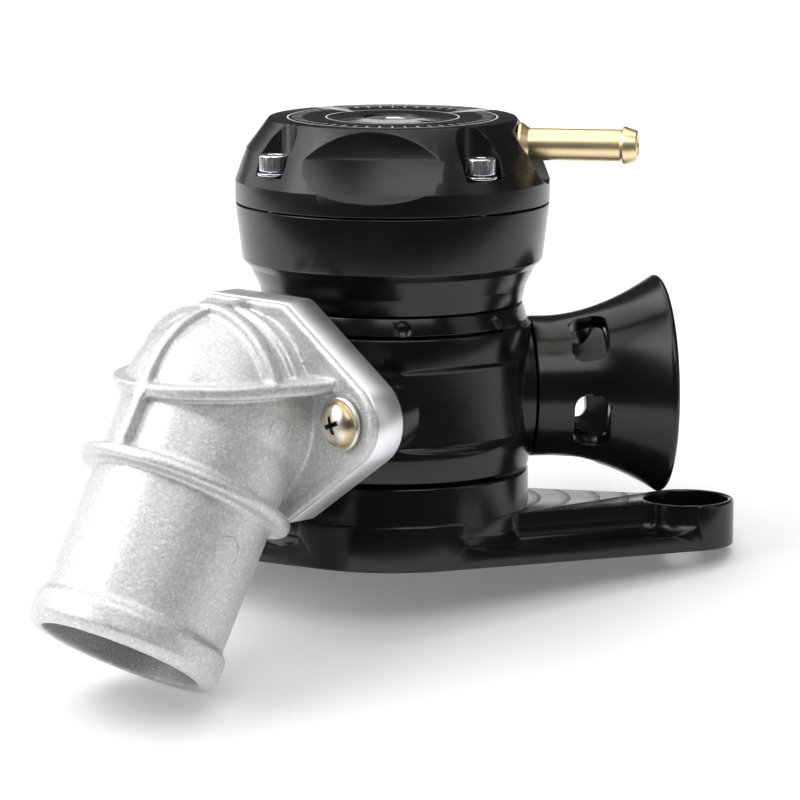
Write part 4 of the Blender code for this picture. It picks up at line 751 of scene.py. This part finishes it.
def buildBase():
    s = SimpleNamespace(**baseSet)
    ears = (s.longEarX, s.shortEarX)
    outline = circle(0, 0, s.plateR, 180)
    for x in ears:
        outline += circle(x, s.earY, s.earR, 96)
    outline = hull(outline)
    levels = roundedEdge(s.edge, 3)
    rows = [(shrunk(outline, inset), rise) for inset, rise in levels]
    rows += [(shrunk(outline, inset), s.plate - rise) for inset, rise in reversed(levels)]
    plate = toObject("basePlate", loft(rows), baseBlack)
    collar = lathe([(0, 1.0), (s.collarR, 1.0), (s.collarR, s.collarTop, s.edge), (0, s.collarTop)], 192)
    bore = lathe([(0, -1), (s.inletR + s.lead + 1, -1), (s.inletR, s.lead, 0.6), (s.inletR, s.socketFloor),
                  (s.socketR, s.socketFloor)] + groovePoints(s.socketR, -s.snapDepth, s.snapZ, s.snapDepth)
                 + [(s.socketR, s.collarTop - 0.35), (s.socketR + 1.35, s.collarTop + 1),
                    (0, s.collarTop + 1)], 192)
    half = s.grooveWidth / 2
    groove = turned(((s.grooveR - half, -1), (s.grooveR + half, -1),
                     (s.grooveR + half, s.grooveDepth), (s.grooveR - half, s.grooveDepth)), 150)
    pocketFloor = s.plate - s.pocketDepth
    steps = [("fuse", collar), ("cut", bore), ("cut", groove)]
    for x in ears:
        bolt = lathe([(0, -1), (s.boltR, -1), (s.boltR, pocketFloor),
                      (s.pocketR, pocketFloor, 0.5), (s.pocketR, s.plate - 0.25),
                      (s.pocketR + 1.25, s.plate + 1), (0, s.plate + 1)], 96)
        steps.append(("cut", bolt, shift(x, s.earY)))
        length = math.sqrt(x ** 2 + s.earY ** 2 - (s.plateR - s.earR) ** 2)
        for side in (1, -1):
            steps.append(("cut", rebate(length), flankFrame(x, side)))
    carve(plate, steps)
    breakEdges(plate, s.edgeBreak)
    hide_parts("base_flange")
    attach(plate, "valve")


buildBase()
print("base built")


bodySet = dict(
    foot=16.5, top=43.5, r=26.1, taper=0.5, taperHeight=4.5, edge=0.45,
    spigotR=21.0, spigotEnd=9.4, retainerZ=11.1, retainerDepth=0.8,
    sealZ=13.7, sealDepth=1.8, sealHalf=1.0, seatR=17.3, seatZ=17.0,
    boreR=22.0, snapZ=42.6, snapDepth=0.8, snapHalf=0.65,
    reliefAzimuth=30.0, reliefHalf=33.0, reliefDepth=1.2, reliefHeight=17.0, reliefRise=5.1,
    trumpetBossR=13.0, trumpetFace=25.4, trumpetBoreR=10.0, trumpetSpigotR=12.0,
    trumpetSpigot=2.5,
    padR=12.0, padSpread=4.0, portR=9.7, lugR=7.65, lugReach=28.0, lugThickness=9.2,
    tapR=2.7, tapDepth=14.5, faceLip=0.7, faceGroove=1.4, edgeBreak=0.18,
)


def buildBody():
    s = SimpleNamespace(**bodySet)
    footR = s.r - s.taper
    profile = [(0, s.spigotEnd), (s.spigotR, s.spigotEnd, 0.35)]
    profile += groovePoints(s.spigotR, s.retainerDepth, s.retainerZ, s.retainerDepth)
    profile += groovePoints(s.spigotR, s.sealDepth, s.sealZ, s.sealHalf)
    profile += [(s.spigotR, s.foot), (footR, s.foot, s.edge),
                (s.r, s.foot + s.taperHeight, 2.5), (s.r, s.top, s.edge), (0, s.top)]
    body = toObject("bodyShell", lathe(profile, 192), bodyBlack)

    floorR = s.r - s.reliefDepth
    flatten = s.r * (1 - math.cos(math.radians(s.reliefHalf))) - s.reliefDepth
    offset = (s.r ** 2 - floorR ** 2) / (2 * flatten)
    radius = floorR + offset
    z0 = s.foot + s.reliefRise
    z1 = z0 + s.reliefHeight
    bevel = s.reliefDepth + 0.3
    outer = radius + s.r
    edge = math.asin(s.r * math.sin(math.radians(s.reliefHalf)) / radius)
    reach = math.degrees(edge + 0.6 / radius)
    relief = lathe([(radius, z0 + bevel, 1.0), (radius + bevel, z0), (outer, z0), (outer, z1),
                    (radius + bevel, z1), (radius, z1 - bevel, 1.0)], 72, -90 - reach, 2 * reach)
    core = s.boreR / 2
    lugX = s.lugReach - s.lugR
    lug = hull(circle(-lugX, 0, s.lugR, 96) + circle(lugX, 0, s.lugR, 96))
    pad = hull(circle(-s.padSpread, 0, s.padR, 96) + circle(s.padSpread, 0, s.padR, 96))
    face = stack["elbowFace"]
    bore = turned([(0, s.spigotEnd - 1), (s.seatR, s.spigotEnd - 1), (s.seatR, s.seatZ), (s.boreR, s.seatZ)]
                  + groovePoints(s.boreR, -s.snapDepth, s.snapZ, s.snapHalf)
                  + [(s.boreR, s.top + 1), (0, s.top + 1)], 192)
    socketR = s.trumpetSpigotR + 0.3
    socketZ = s.trumpetFace - s.trumpetSpigot - 0.3
    port = turned(((0, core), (s.trumpetBoreR, core), (s.trumpetBoreR, socketZ), (socketR, socketZ),
                   (socketR, s.trumpetFace), (s.trumpetBossR + 1, s.trumpetFace),
                   (s.trumpetBossR + 1, s.r + 1), (0, s.r + 1)), 96)
    grooveR = s.portR + s.faceLip
    steps = [("cut", relief, turn(s.reliefAzimuth) @ shift(y=offset)),
             ("fuse", rod(s.trumpetBossR, core, s.trumpetFace), trumpetFrame),
             ("fuse", prism(lug, face - s.lugThickness, face), elbowFrame),
             ("fuse", prism(pad, core, face), elbowFrame),
             ("cut", bore, turn(0.7)),
             ("cut", port, trumpetFrame),
             ("cut", rod(s.portR, core, face + 1), elbowFrame),
             ("cut", turned(((grooveR, face - 1), (grooveR + s.faceGroove, face - 1),
                             (grooveR + s.faceGroove, face + 1), (grooveR, face + 1)), 96), elbowFrame)]
    for side in (-1, 1):
        steps.append(("cut", rod(s.tapR, face - s.tapDepth, face + 1, 48),
                      elbowFrame @ shift(x=side * elbowSet["spread"])))
    carve(body, steps)
    breakEdges(body, s.edgeBreak)
    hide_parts("valve_body")
    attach(body, "valve")


buildBody()
print("body built")


trumpetSet = dict(
    foot=25.7, length=25.6, neckR=13.3, neckLength=3.3, mouthR=20.6, boreR=10.0,
    wall=2.1, curve=1.9, spigotR=12.0, spigot=22.9, sealZ=24.3, windows=5,
    windowWidth=10.6, windowLength=6.5, windowR=2.6, windowReach=26.0, windowCentre=10.2, phase=130.0,
    sealDepth=1.0, sealHalf=0.65, edgeBreak=0.22,
)


def buildTrumpet():
    s = SimpleNamespace(**trumpetSet)
    tip = s.foot + s.length
    bell = s.foot + s.neckLength
    outer, inner = [], []
    count = 40
    for k in range(count + 1):
        rise = (k / count) ** s.curve
        z = bell + (tip - s.wall / 2 - bell) * k / count
        outer.append((s.neckR + (s.mouthR - s.neckR) * rise, z))
        inner.append((s.boreR + (s.mouthR - s.wall - s.boreR) * rise, z))
    rimR = (outer[-1][0] + inner[-1][0]) / 2
    rim = arc(rimR, tip - s.wall / 2, s.wall / 2, 0, 180, 10)[1:-1]
    profile = [(s.boreR, s.spigot), (s.spigotR, s.spigot, 0.35)]
    profile += groovePoints(s.spigotR, s.sealDepth, s.sealZ, s.sealHalf)
    profile += [(s.spigotR, s.foot), (s.neckR, s.foot, 0.4)]
    profile += outer + rim + inner[::-1]
    horn = toObject("trumpetHorn", lathe(profile, 160), trumpetBlack)
    halfW, halfL = s.windowWidth / 2, s.windowLength / 2
    outline = filleted([(sx * halfL, sy * halfW, s.windowR) for sx, sy in ((1, 1), (-1, 1), (-1, -1), (1, -1))], 8)
    window = toObject("windowTool", prism(outline, s.boreR - 1.5, s.windowReach), None,
                      shift(z=s.foot + s.windowCentre) @ turn(90, "X") @ turn(90, "Z"))
    cutRound(horn, window, s.windows, s.phase + 90, trumpetBlack)
    breakEdges(horn, s.edgeBreak)
    horn.data.transform(trumpetFrame)
    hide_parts("trumpet")
    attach(horn, "valve")


buildTrumpet()
print("trumpet built")


def flangeOutline(grow=0.0, count=72):
    s = SimpleNamespace(**elbowSet)
    points = []
    cx, cy = s.flat - s.cornerR, s.halfHeight - s.cornerR
    for sx in (-1, 1):
        points += circle(sx * s.spread, 0, s.earR + grow, count)
        for sy in (-1, 1):
            points += circle(sx * cx, sy * cy, s.cornerR + grow, count // 2)
    return hull(points)


def buildElbow():
    s = SimpleNamespace(**elbowSet)
    toPipe = bendFrame @ turn(s.angle, "X")
    face = s.face
    # the casting: slab, neck, ball, pipe, ring, ribs, remeshed so that every corner gets its fillet
    slab = toObject("elbowCast", prism(flangeOutline(-s.skinInset), face - 3.4, face), castSkin)
    root = face - 1 - s.back - s.bendDistance
    dome = arc(0, 0, s.ballR, -25, 90, 28)
    dome = [(0, dome[0][1])] + dome[:-1] + [(0, s.ballR)]
    bead = s.pipeLength - s.beadLength
    ringEnd = s.ringStart + s.ringWidth
    pipe = filleted([(0, 0), (s.pipeR, 0), (s.pipeR, s.ringStart, 1.0),
                     (s.ringR, s.ringStart, 0.9), (s.ringR, ringEnd, 0.9), (s.pipeR, ringEnd, 1.0),
                     (s.pipeR, bead, 1.2), (s.beadR, bead + 1.3, 0.9), (s.beadR, s.pipeLength - 1.6, 1.0),
                     (s.pipeR, s.pipeLength, 0.6), (0, s.pipeLength)])
    steps = [("fuse", rod(s.neckR, root, 0, 120), bendFrame), ("fuse", turned(dome, 120), bendFrame),
             ("fuse", turned(pipe, 120), toPipe)]
    half = s.ribThickness / 2
    crest = arc(0, 0, s.ribR, 90, 90 - s.angle, 24)
    down = math.radians(-s.angle)
    run = Vector((math.cos(down), math.sin(down))) * (s.ringStart + 1)
    heel = Vector(crest[-1]) + run
    upright = [(root, 0), (root, s.ribR)] + crest + [tuple(heel), tuple(run)]
    steps.append(("fuse", prism(upright[::-1], -half, half), bendFrame @ turn(-90, "Y")))
    shelf = hull([(-s.shelfReach, root), (s.shelfReach, root)] + arc(0, 0, s.shelfR, 0, 180, 48))
    steps.append(("fuse", prism(shelf, -half, half), bendFrame @ shift(y=s.shelfLift) @ turn(90, "X")))
    for radius, offset, thickness in ((s.archR, s.archOffset, s.ribThickness),
                                      (s.stepR, s.stepOffset, s.stepThickness)):
        low = math.degrees(math.asin(s.shelfLift / radius))
        steps.append(("fuse", prism(arc(0, 0, radius, low, 180 - low, 60), offset - thickness / 2,
                                    offset + thickness / 2), bendFrame))
    # raised rim along the edge of the flange's face
    ridge = toObject("rimTool", prism(flangeOutline(-s.skinInset), face - 1, face + s.rimHeight))
    carve(ridge, [("cut", prism(flangeOutline(-s.skinInset - s.rimWidth), face - 2, face + 3))])
    rimShape = bmesh.new()
    rimShape.from_mesh(ridge.data)
    bpy.data.objects.remove(ridge)
    steps.append(("fuse", rimShape))
    hollow = [(0, -s.ballBoreR)] + arc(0, 0, s.ballBoreR, -90, 90, 30)[1:-1] + [(0, s.ballBoreR)]
    steps += [("cut", rod(s.boreR, s.back - 1, s.back + s.bendDistance, 96), shift(y=s.lift / 2)),
              ("cut", turned(hollow, 96), bendFrame @ turn(90, "Y")),
              ("cut", rod(s.pipeBoreR, 4.3, s.pipeLength + 1, 120), toPipe)]
    for side in (-1, 1):
        steps.append(("cut", rod(s.holeR, s.back - 1, face + 20, 48), shift(x=side * s.spread)))
        steps.append(("cut", rod(s.seatR, face - 0.15, face + 9, 64), shift(x=side * s.spread)))
    carve(slab, steps)
    remesh = slab.modifiers.new("casting", "REMESH")
    remesh.mode = "VOXEL"
    remesh.voxel_size = s.voxel * mm
    smooth = slab.modifiers.new("fillets", "SMOOTH")
    smooth.factor = 0.5
    smooth.iterations = s.smooth
    settled(slab, 180.0)
    # the milled plate behind the cast face
    plate = toObject("elbowPlate", prism(flangeOutline(), s.back, face - s.plateGap), castFaced)
    holes = [("cut", rod(s.boreR, s.back - 1, face + 1, 96), shift(y=s.lift / 2))]
    holes += [("cut", rod(s.plateHoleR, s.back - 1, face + 1, 48), shift(x=side * s.spread)) for side in (-1, 1)]
    carve(plate, holes)
    breakEdges(plate, s.plateBreak)
    bm = bmesh.new()
    bm.from_mesh(slab.data)
    first = len(bm.faces)
    bm.from_mesh(plate.data)
    bm.faces.ensure_lookup_table()
    for i in range(first, len(bm.faces)):
        bm.faces[i].material_index = 1
    slab.data.materials.clear()
    slab.data.materials.append(castSkin)
    slab.data.materials.append(castFaced)
    bm.to_mesh(slab.data)
    bm.free()
    bpy.data.objects.remove(plate)
    slab.data.transform(elbowFrame)
    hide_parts("elbow")
    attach(slab, "valve")


buildElbow()
print("elbow built")


def buildPanScrews():
    s = SimpleNamespace(**panSet)
    g = s.gap
    dome = [(r, s.flangeHeight + g + z / s.headR * (s.headHeight - s.flangeHeight))
            for r, z in arc(0, 0, s.headR, 0, 90, 14)[:-1]]
    profile = filleted([(0, -s.length), (s.r, -s.length, 0.5), (s.r, g),
                        (s.flangeR, g, 0.25), (s.flangeR, g + s.flangeHeight, 0.35)]
                       + dome + [(0, s.headHeight + g)])
    screw = toObject("panScrews", turned(profile, 64), screwPlate)
    arm = s.crossLength / 2
    levels = []
    for depth, tip, flank in ((s.crossDepth, s.crossTaper[0], s.crossTaper[1]), (-1.0, 1.0, 1.0)):
        a, h = arm * tip, s.crossWidth / 2 * flank
        quarter, outline = [(a, -h), (a, h), (h, h)], []
        for _ in range(4):
            outline += quarter
            quarter = [(-y, x) for x, y in quarter]
        levels.append((outline, s.headHeight + g - depth))
    carve(screw, [("cut", loft(levels), turn(20))])
    breakEdges(screw, s.edgeBreak)
    # two of them, half a turn apart about the port's axis
    screw.data.transform(shift(x=elbowSet["spread"], z=elbowSet["face"]))
    copyRound(screw, 2, 0, screwPlate)
    # the faces down in the cross recess take the near-black finish, a painted shade
    screw.data.materials.append(paintedRecessShade)
    for face in screw.data.polygons:
        x = abs(face.center.x) / mm - elbowSet["spread"]
        radius = min(math.hypot(x, face.center.y / mm), s.headR)
        domeRise = math.sqrt(1 - (radius / s.headR) ** 2) * (s.headHeight - s.flangeHeight)
        depth = elbowSet["face"] + g + s.flangeHeight + domeRise - face.center.z / mm
        if radius < arm and 0.25 < depth < s.crossDepth + 1:
            face.material_index = 1
    screw.data.transform(elbowFrame)
    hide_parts("elbow_screw_left", "elbow_screw_right")
    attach(screw, "valve")


buildPanScrews()
print("elbow screws built")


ringSet = dict(
    z=43.9, height=3.3, r=25.5, taper=1.1, boreR=22.0, dimples=8, dimpleR=1.5,
    dimpleDepth=0.9, phase=4.4, edgeBreak=0.12,
)


def buildIndexRing():
    s = SimpleNamespace(**ringSet)
    top = s.z + s.height
    topR = s.r - s.taper
    ring = toObject("indexRing", lathe([(s.boreR, s.z), (s.r, s.z, 0.3),
                                        (topR, top, 0.3), (s.boreR, top)], 192), bodyBlack)
    surface = s.r - s.taper / 2
    drill = toObject("dimpleTool", lathe([(0, surface - s.dimpleDepth), (s.dimpleR, surface),
                                          (s.dimpleR + 1, surface + 1), (0, surface + 1)], 40),
                     None, portFrame(0, s.z + s.height / 2))
    cutRound(ring, drill, s.dimples, s.phase, bodyBlack)
    breakEdges(ring, s.edgeBreak)
    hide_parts("bias_ring")
    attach(ring, "head")


buildIndexRing()

upperSet = dict(
    foot=47.5, seam=66.0, r=29.45, waistR=28.2, shoulderR=26.8, neckR=25.1,
    footR=24.35, neck=3.1, shoulder=6.6, waist=8.0, boreR=22.0, chamberR=22.3,
    sleeveTop=51.0, sealR=23.9, sealHalf=0.7, sealDepth=1.2, holeR=1.5, holeDepth=6.3,
)


def buildUpper():
    s = SimpleNamespace(**upperSet)
    z, seam = s.foot, s.seam
    profile = [(s.boreR, z), (s.footR, z, 0.3), (s.neckR, z + s.neck, 1.2),
               (s.shoulderR, z + s.shoulder, 0.5), (s.waistR, z + s.waist, 0.7),
               (s.r, seam, 0.2), (s.sealR + s.sealHalf, seam), (s.sealR + s.sealHalf, seam - s.sealDepth),
               (s.sealR - s.sealHalf, seam - s.sealDepth), (s.sealR - s.sealHalf, seam), (s.chamberR, seam),
               (s.chamberR, s.sleeveTop + 0.35), (s.boreR, s.sleeveTop)]
    upper = toObject("upperShell", lathe(profile, 192), bodyBlack)
    hole = toObject("holeTool", rod(s.holeR, seam - s.holeDepth, seam + 1, 32), None,
                    shift(*polar(0, stack["screwPitch"])))
    cutRound(upper, hole, 4, stack["screwPhase"], bodyBlack)
    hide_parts("upper_body")
    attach(upper, "head")


buildUpper()
print("ring and upper body built")


capSet = dict(
    foot=66.3, top=81.8, r=29.45, rim=4.0, chamfers=((28.7, 6.1), (27.3, 10.0)),
    faceR=23.2, cavityR=22.5, cavity=4.7, crownR=20.0, crown=7.3, bossR=8.0,
    bossDrop=1.6, pocketR=4.2, pocketFloor=6.1, coveR=14.7, coveDistance=38.2,
    coveDrop=1.1, coveAzimuths=(-8.5, 171.5), spotR=7.3, spotFace=23.6,
    holeR=1.5, tapR=2.6, tapEnd=13.5, sealR=3.6, sealDepth=1.0, edgeBreak=0.2, breakAngle=32.0,
    discR=5.2, discHeight=1.6, discSink=0.3, shankR=2.9, shankLength=21.5, hexR=2.3, hexLead=3.7,
    clipDepth=0.7, clipHalf=0.5, ringDepth=0.9, ringHalf=0.65,
)


def buildCap():
    s = SimpleNamespace(**capSet)
    z, top = s.foot, s.top
    headFloor = top - s.discHeight - 2 * s.discSink
    headR, shankR = s.discR + 0.3, s.shankR + 0.3
    crown = z + s.crown
    profile = [(s.cavityR, z), (s.r, z, 0.2), (s.r, z + s.rim, 0.25)]
    profile += [(r, z + h, 0.25) for r, h in s.chamfers]
    profile += [(s.faceR, top, 0.3), (headR, top, 0.3), (headR, headFloor), (shankR, headFloor),
                (shankR, crown - s.bossDrop), (s.bossR, crown - s.bossDrop), (s.bossR, crown),
                (s.crownR, crown), (s.cavityR, z + s.cavity)]
    cap = toObject("capShell", lathe(profile, 192), capBlack)
    floor = z + s.pocketFloor
    pocket = toObject("pocketTool", turned(((0, z - 1), (s.holeR, z - 1), (s.holeR, floor), (s.pocketR, floor),
                                            (s.pocketR, top + 1), (0, top + 1)), 72), None,
                      shift(*polar(0, stack["screwPitch"])))
    cutRound(cap, pocket, 4, stack["screwPhase"], capBlack)
    steps = []
    for azimuth in s.coveAzimuths:
        place = portFrame(azimuth, top - s.coveDrop) @ shift(z=s.coveDistance) @ turn(90, "Y")
        steps.append(("cut", rod(s.coveR, -s.coveR, s.coveR, 160), place))
    spot = turned(((0, s.tapEnd), (s.tapR, s.tapEnd), (s.tapR, s.spotFace - s.sealDepth),
                   (s.sealR, s.spotFace - s.sealDepth), (s.sealR, s.spotFace), (s.spotR, s.spotFace),
                   (s.spotR, s.r + 1), (0, s.r + 1)), 96)
    steps.append(("cut", spot, nippleFrame))
    carve(cap, steps)
    breakEdges(cap, s.edgeBreak, s.breakAngle)
    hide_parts("cap")
    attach(cap, "head")


buildCap()
print("cap built")


socketSet = dict(
    washerR=3.1, washerBoreR=1.5, washer=0.5, headR=2.75, head=3.0, r=1.25, socketR=1.45,
    socketDepth=1.6, floor=72.4, gap=0.3, end=60.0, knurls=24, knurlR=0.21,
    corners=("front_left", "front_right", "back_right", "back_left"),
)


def buildCapScrews():
    s = SimpleNamespace(**socketSet)
    washerZ = s.floor + s.gap
    headZ = washerZ + s.washer + s.gap
    top = headZ + s.head
    profile = filleted([(0, s.end), (s.r, s.end, 0.3), (s.r, headZ), (s.headR, headZ, 0.15),
                        (s.headR, top, 0.3), (0, top)])
    screw = toObject("capScrews", turned(profile, 96), capSteel)
    hexagon = circle(0, 0, s.socketR, 6)
    wide = circle(0, 0, s.socketR + 1.2, 6)
    flutes = [(rod(s.knurlR, headZ + 0.35, top - 0.45, 8), turn(360 * k / s.knurls) @ shift(s.headR + 0.03))
              for k in range(s.knurls)]
    carve(screw, [("cut", loft(((hexagon, top - s.socketDepth), (hexagon, top - 0.12), (wide, top + 1))),
                   turn(15)), ("cut", merged(flutes))])
    x, y = polar(0, stack["screwPitch"])
    screw.data.transform(shift(x, y))
    copyRound(screw, 4, stack["screwPhase"], capSteel)
    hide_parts(*["cap_screw_" + corner for corner in s.corners])
    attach(screw, "head")
    washer = toObject("capWashers", lathe([(s.washerBoreR, washerZ), (s.washerR, washerZ, 0.15),
                                           (s.washerR, washerZ + s.washer, 0.15),
                                           (s.washerBoreR, washerZ + s.washer)], 64), capSteel, shift(x, y))
    copyRound(washer, 4, stack["screwPhase"], capSteel)
    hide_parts(*["cap_washer_" + corner for corner in s.corners])
    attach(washer, "head")


buildCapScrews()
print("cap screws built")


nippleSet = dict(
    foot=23.9, length=22.2, flareR=4.0, tubeR=3.0, beadR=3.65, tipR=2.8,
    boreR=1.6, threadR=2.3, thread=6.2,
)


def buildNipple():
    s = SimpleNamespace(**nippleSet)
    foot, tip = s.foot, s.foot + s.length
    barb = tip - 4 * (s.beadR - s.tubeR)
    profile = [(s.boreR, foot - s.thread), (s.threadR, foot - s.thread, 0.3), (s.threadR, foot),
               (s.flareR, foot, 0.2), (s.flareR, foot + 0.6, 0.3), (s.tubeR, foot + 2.0, 0.8),
               (s.tubeR, barb - 0.4, 0.4), (s.beadR, barb, 0.35), (s.tipR, tip, 0.4),
               (s.boreR, tip, 0.25)]
    nipple = toObject("nippleTube", turned(filleted(profile, 6), 80), nippleBrass)
    settled(nipple, 40.0)
    nipple.data.transform(nippleFrame)
    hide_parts("vacuum_nipple")
    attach(nipple, "head")


def buildDisc():
    s = SimpleNamespace(**capSet)
    top = s.top - s.discSink
    under = top - s.discHeight
    profile = [(0, top - s.shankLength), (s.shankR, top - s.shankLength, 0.35)]
    clipZ, sealZ = s.foot + s.crown - s.bossDrop - 0.6, under - 4.0
    profile += groovePoints(s.shankR, s.clipDepth, clipZ, s.clipHalf)
    profile += groovePoints(s.shankR, s.ringDepth, sealZ, s.ringHalf)
    profile += [(s.shankR, under), (s.discR, under), (s.discR, top, 0.4), (0, top)]
    disc = toObject("adjusterDisc", lathe(profile, 96), bareAlloy)
    hexagon, wide = circle(0, 0, s.hexR, 6), circle(0, 0, s.hexLead, 6)
    carve(disc, [("cut", loft(((hexagon, under + 0.35), (hexagon, top - 0.2), (wide, top + 1))))])
    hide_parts("adjuster_screw")
    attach(disc, "adjuster")


buildNipple()
buildDisc()
print("nipple and adjuster built")


# Coil spring on a path: closed end turns and free turns between them
springSet = dict(
    foot=20.9, top=66.5, r=11.0, wireR=0.9, turns=8.0, endPitch=2.0, split=5.5,
    stepsPerTurn=40,
)


def springRise(turns):
    s = SimpleNamespace(**springSet)
    free = s.turns - 2
    pitch = (s.top - s.foot - 2 * s.wireR - 2 * s.endPitch) / free
    return s.endPitch * (min(turns, 1) + max(turns - free - 1, 0)) + pitch * min(max(turns - 1, 0), free)


def buildSpringTree():
    s = SimpleNamespace(**springSet)
    free = s.turns - 2
    pitch = springRise(2) - springRise(1)
    tree, source = newTree("coil spring", First="Float", Last="Float", Count="Int")
    line = addNode(tree, "GeometryNodeCurvePrimitiveLine").outputs["Curve"]
    points = addNode(tree, "GeometryNodeResampleCurve", {"Curve": line, "Count": source["Count"]})
    along = Signal(tree, addNode(tree, "GeometryNodeSplineParameter").outputs["Factor"])
    first, last = Signal(tree, source["First"]), Signal(tree, source["Last"])
    turns = along * (last - first) + first
    angle = turns * (2 * math.pi)
    closed = turns.work("MINIMUM", 1.0) + (turns - (free + 1)).work("MAXIMUM", 0.0)
    between = (turns - 1.0).work("MAXIMUM", 0.0).work("MINIMUM", free)
    height = between * (pitch * mm) + closed * (s.endPitch * mm)
    place = joined(angle.work("COSINE") * (s.r * mm), angle.work("SINE") * (s.r * mm),
                   height + (s.foot + s.wireR) * mm)
    path = addNode(tree, "GeometryNodeSetPosition", {"Geometry": points.outputs["Curve"], "Position": place})
    section = addNode(tree, "GeometryNodeCurvePrimitiveCircle", {"Resolution": 14, "Radius": s.wireR * mm})
    wire = addNode(tree, "GeometryNodeCurveToMesh", {
        "Curve": path.outputs["Geometry"], "Profile Curve": section.outputs["Curve"], "Fill Caps": True})
    return endTree(tree, source, wire.outputs["Mesh"])


def buildSpring():
    # the coil is built as two pieces, the lower turns and the upper turns
    s = SimpleNamespace(**springSet)
    tree = buildSpringTree()
    cut = s.foot + s.wireR + springRise(s.split)
    for name, first, last, low, high in (("springLower", 0.0, s.split, s.foot, cut - s.wireR),
                                         ("springUpper", s.split, s.turns, cut + s.wireR, s.top)):
        coil = toObject(name, bmesh.new())
        count = round((last - first) * s.stepsPerTurn) + 1
        runTree(coil, tree, {"First": first, "Last": last, "Count": count, "Finish": capSteel})
        bodies = ("plunger", "head") if first == 0 else ("head", "seat")
        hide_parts("spring")
        low * mm
        high * mm
        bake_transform(coil)


buildSpring()
print("spring built")


# The solids get their finish too; what isn't named here is steel
solidFinishes = (
    (baseBlack, ("base_flange",)), (bodyBlack, ("valve_body", "bias_ring", "upper_body", "bias_sleeve")),
    (capBlack, ("cap",)), (trumpetBlack, ("trumpet",)), (castSkin, ("elbow",)), (nippleBrass, ("vacuum_nipple",)),
    (screwPlate, ("elbow_screw_left", "elbow_screw_right")), (bareAlloy, ("adjuster_screw", "piston", "spring_seat")),
    (sealRubber, ("flange_o_ring", "body_o_ring", "trumpet_o_ring", "elbow_o_ring", "cap_o_ring", "nipple_seal",
                  "adjuster_o_ring", "piston_o_ring")), (bandPolymer, ("piston_guide_band",)),
)
nodeFinish = {node: finish for finish, nodes in solidFinishes for node in nodes}
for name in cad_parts:
    for slot in bpy.data.objects[name].material_slots:
        slot.material = nodeFinish.get(name, capSteel)
print("solids finished")


# Floor, lamps and camera. Only the floor's point is in millimetres here, the rest is in metres.
stage = dict(
    floorNormal=(-0.06, -0.247, 0.9671), floorPoint=(-80.0, 25.1, -5.53), size=0.78,
    floorColour=(0.90, 0.90, 0.905), floorGlow=0.18, world=0.06,
    camera=(0.0014, -0.8729, 0.1742), pitch=9.5, lens=211.05, centre=(0, 0, 0.04),
)
# name, place, size, power and colour of each lamp
lamps = (("overhead box", (-0.10, 0.10, 0.95), (1.3, 1.3), 8.5, (1.0, 0.99, 0.97)),
         ("left key", (-0.80, -0.35, 0.55), (0.6, 0.9), 5.7, (1, 1, 1)),
         ("left wall", (-0.81, 0.22, 0.55), (1.3, 0.9), 5.2, (1, 1, 1)),
         ("front box", (0.15, -0.75, 0.80), (0.9, 0.5), 4.0, (0.97, 0.985, 1.0)),
         ("right strip", (0.75, -0.30, 0.35), (0.35, 0.7), 0.6, (1, 1, 1)))


def buildFloor():
    bm = bmesh.new()
    bmesh.ops.create_circle(bm, cap_ends=True, segments=96, radius=stage["size"] / 2)
    mesh = bpy.data.meshes.new("floor")
    bm.to_mesh(mesh)
    bm.free()
    normal = Vector(stage["floorNormal"]).normalized()
    mesh.transform(Matrix.Translation(Vector(stage["floorPoint"]) * mm)
                   @ normal.to_track_quat("Z", "Y").to_matrix().to_4x4())
    floor = bpy.data.objects.new("floor", mesh)
    scene.collection.objects.link(floor)
    mat, tree, shader = newFinish("floor", Roughness=0.6, Specular_IOR_Level=0.2)
    tone = noise(tree, axisVector(tree), 5.0, 3.0, 0.5)
    pale = stage["floorColour"]
    feed(tree, shader.inputs["Base Color"],
         ramp(tree, tone, ((0.3, pale), (0.7, tuple(c * 1.02 for c in pale)))))
    paths = addNode(tree, "ShaderNodeLightPath").outputs
    seen = Signal(tree, paths["Is Camera Ray"])
    for label in ("Is Glossy Ray", "Is Transmission Ray"):
        seen = seen.work("MAXIMUM", paths[label])
    shader.inputs["Emission Color"].default_value = (1, 1, 1, 1)
    feed(tree, shader.inputs["Emission Strength"], seen * stage["floorGlow"])
    mesh.materials.append(mat)


def addLamp(name, place, size, power, colour):
    lamp = bpy.data.lights.new(name, "AREA")
    lamp.shape = "RECTANGLE"
    lamp.size, lamp.size_y = size
    lamp.energy = power
    lamp.color = colour
    obj = bpy.data.objects.new(name, lamp)
    obj.location = place
    obj.rotation_euler = (Vector(stage["centre"]) - Vector(place)).to_track_quat("-Z", "Y").to_euler()
    scene.collection.objects.link(obj)


def buildStage():
    buildFloor()
    world = bpy.data.worlds.new("studio")
    world.use_nodes = True
    sky = world.node_tree.nodes["Background"].inputs
    sky["Color"].default_value = (1, 1, 1, 1)
    sky["Strength"].default_value = stage["world"]
    scene.world = world
    for lamp in lamps:
        addLamp(*lamp)
    camera = bpy.data.cameras.new("camera")
    camera.lens = stage["lens"]
    camera.sensor_width = 36.0
    camera.clip_start = 0.01
    eye = bpy.data.objects.new("camera", camera)
    eye.location = stage["camera"]
    eye.rotation_euler = (math.radians(90 - stage["pitch"]), 0, 0)
    scene.collection.objects.link(eye)
    scene.camera = eye
    scene.view_settings.view_transform = "Standard"


buildStage()
print("stage built")
